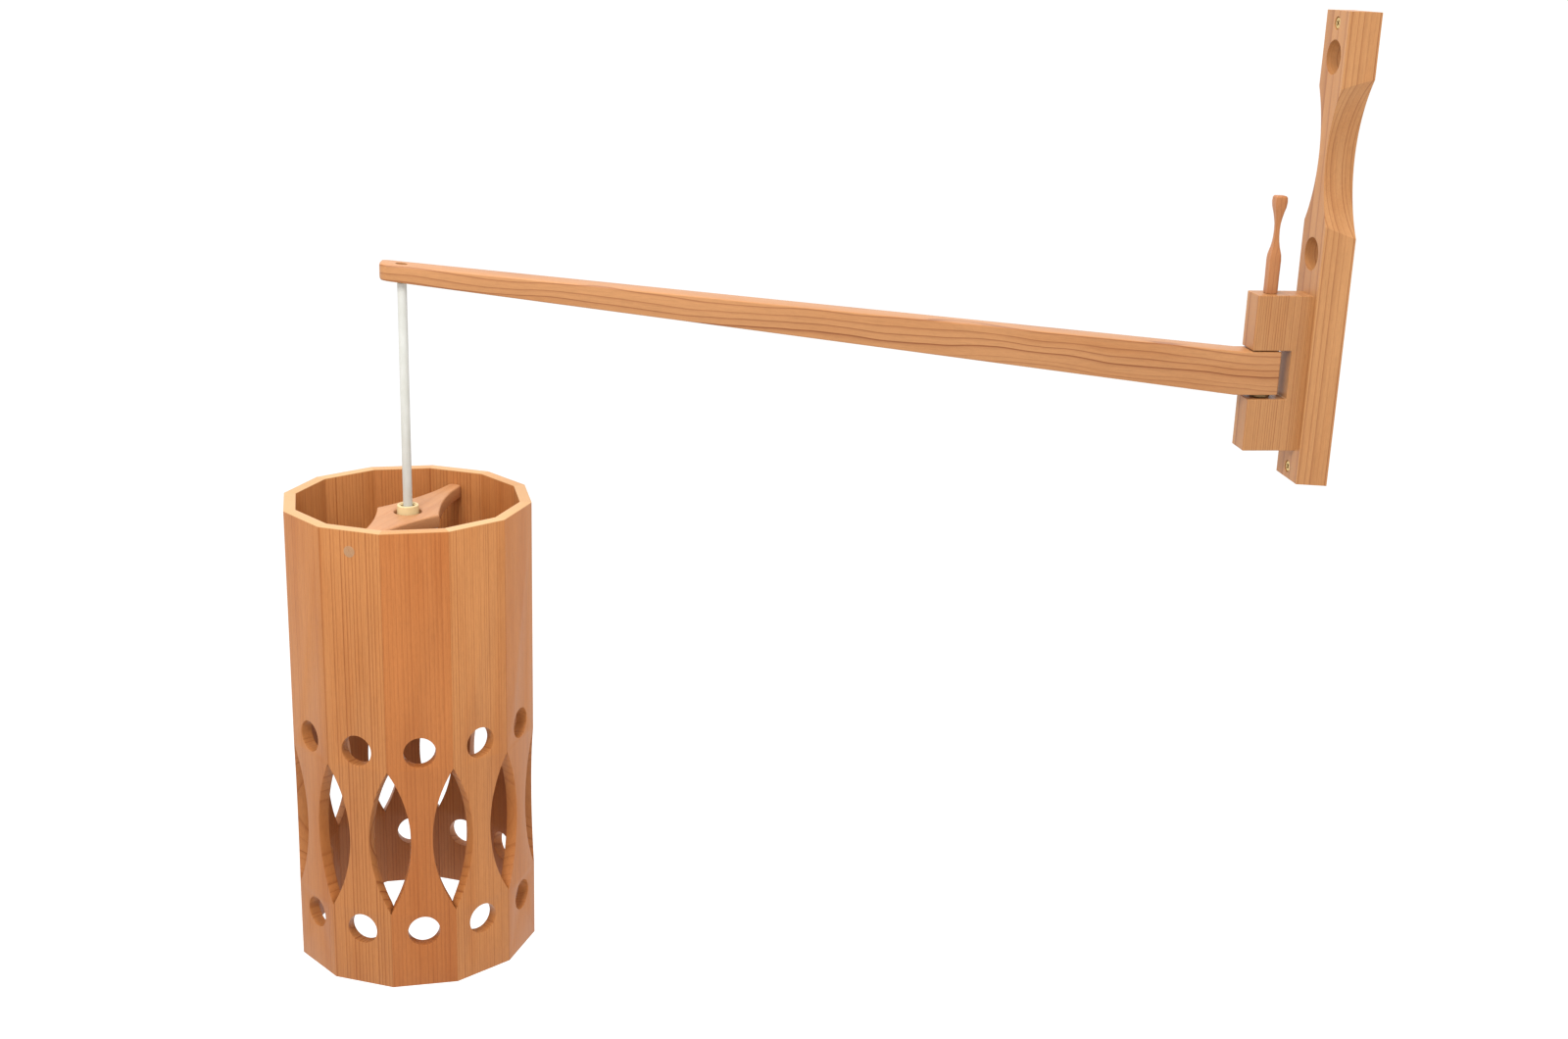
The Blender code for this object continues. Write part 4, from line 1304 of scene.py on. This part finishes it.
def screw_shell(brass):
    """The threaded brass socket, as a real helix in a thin sheet, whose ends are plain."""
    low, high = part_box("screw_shell")
    crest = (high.x - low.x) / 2
    segments = 96
    rows = 60
    rings = []
    for wall in (0, SHELL_WALL):
        for row in range(rows + 1):
            part = row / rows
            height = high.z - (high.z - low.z) * (1 - part if wall else part)
            fade = min(1.0, THREAD_FADE * part, THREAD_FADE * (1 - part))
            ring = []
            for i in range(segments):
                turn = FULL_TURN * i / segments
                phase = FULL_TURN * height / THREAD_PITCH + turn
                cosine = 0.5 + 0.5 * math.cos(phase)
                radius = crest - THREAD_DEPTH * fade * cosine - wall
                ring.append((radius * math.cos(turn), HANG.y + radius * math.sin(turn), height))
            rings.append(ring)
    rings.append(rings[0])
    shape = loft(rings, capped=False)
    bmesh.ops.remove_doubles(shape, verts=shape.verts, dist=WELD)
    made = smooth(mesh_object("screw_shell_brass", shape), 50)
    dress(made, "holder", brass, "brass", "screw_shell")


def paint(material, *nodes):
    """Gives CAD nodes that are shown as they are a material in every slot."""
    for node in nodes:
        for slot in frame["nodes"][node].material_slots:
            slot.material = material


def lampholder():
    white = plastic("off_white_plastic", *WHITE_LOOK)
    brass = metal("socket_brass", *SOCKET_LOOK)
    glaze = plastic("glazed_ceramic", *GLAZE_LOOK, grain=300.0)
    cord_grip(plastic("cream_plastic", *CREAM_LOOK))
    holder_cap(white)
    holder_body(white)
    screw_shell(brass)
    paint(glaze, "contact_insulator")
    paint(brass, "centre_contact")


def hidden_screws():
    zinc = metal("zinc_steel", *ZINC_LOOK)
    paint(zinc, "block_screw_upper", "block_screw_lower", "bar_screw_1", "bar_screw_2")


def main():
    camera()
    pendant_flex()
    arm_flex()
    studio()
    post()
    hinge_block()
    hinge_pin()
    hinge_washer()
    wall_screw("wall_screw_upper")
    wall_screw("wall_screw_lower")
    arm()
    for index, tone in enumerate(STAVE_TONES):
        stave(index, tone)
    crossbar()
    bar_plug("bar_plug_1")
    bar_plug("bar_plug_2")
    lampholder()
    hidden_screws()


main()
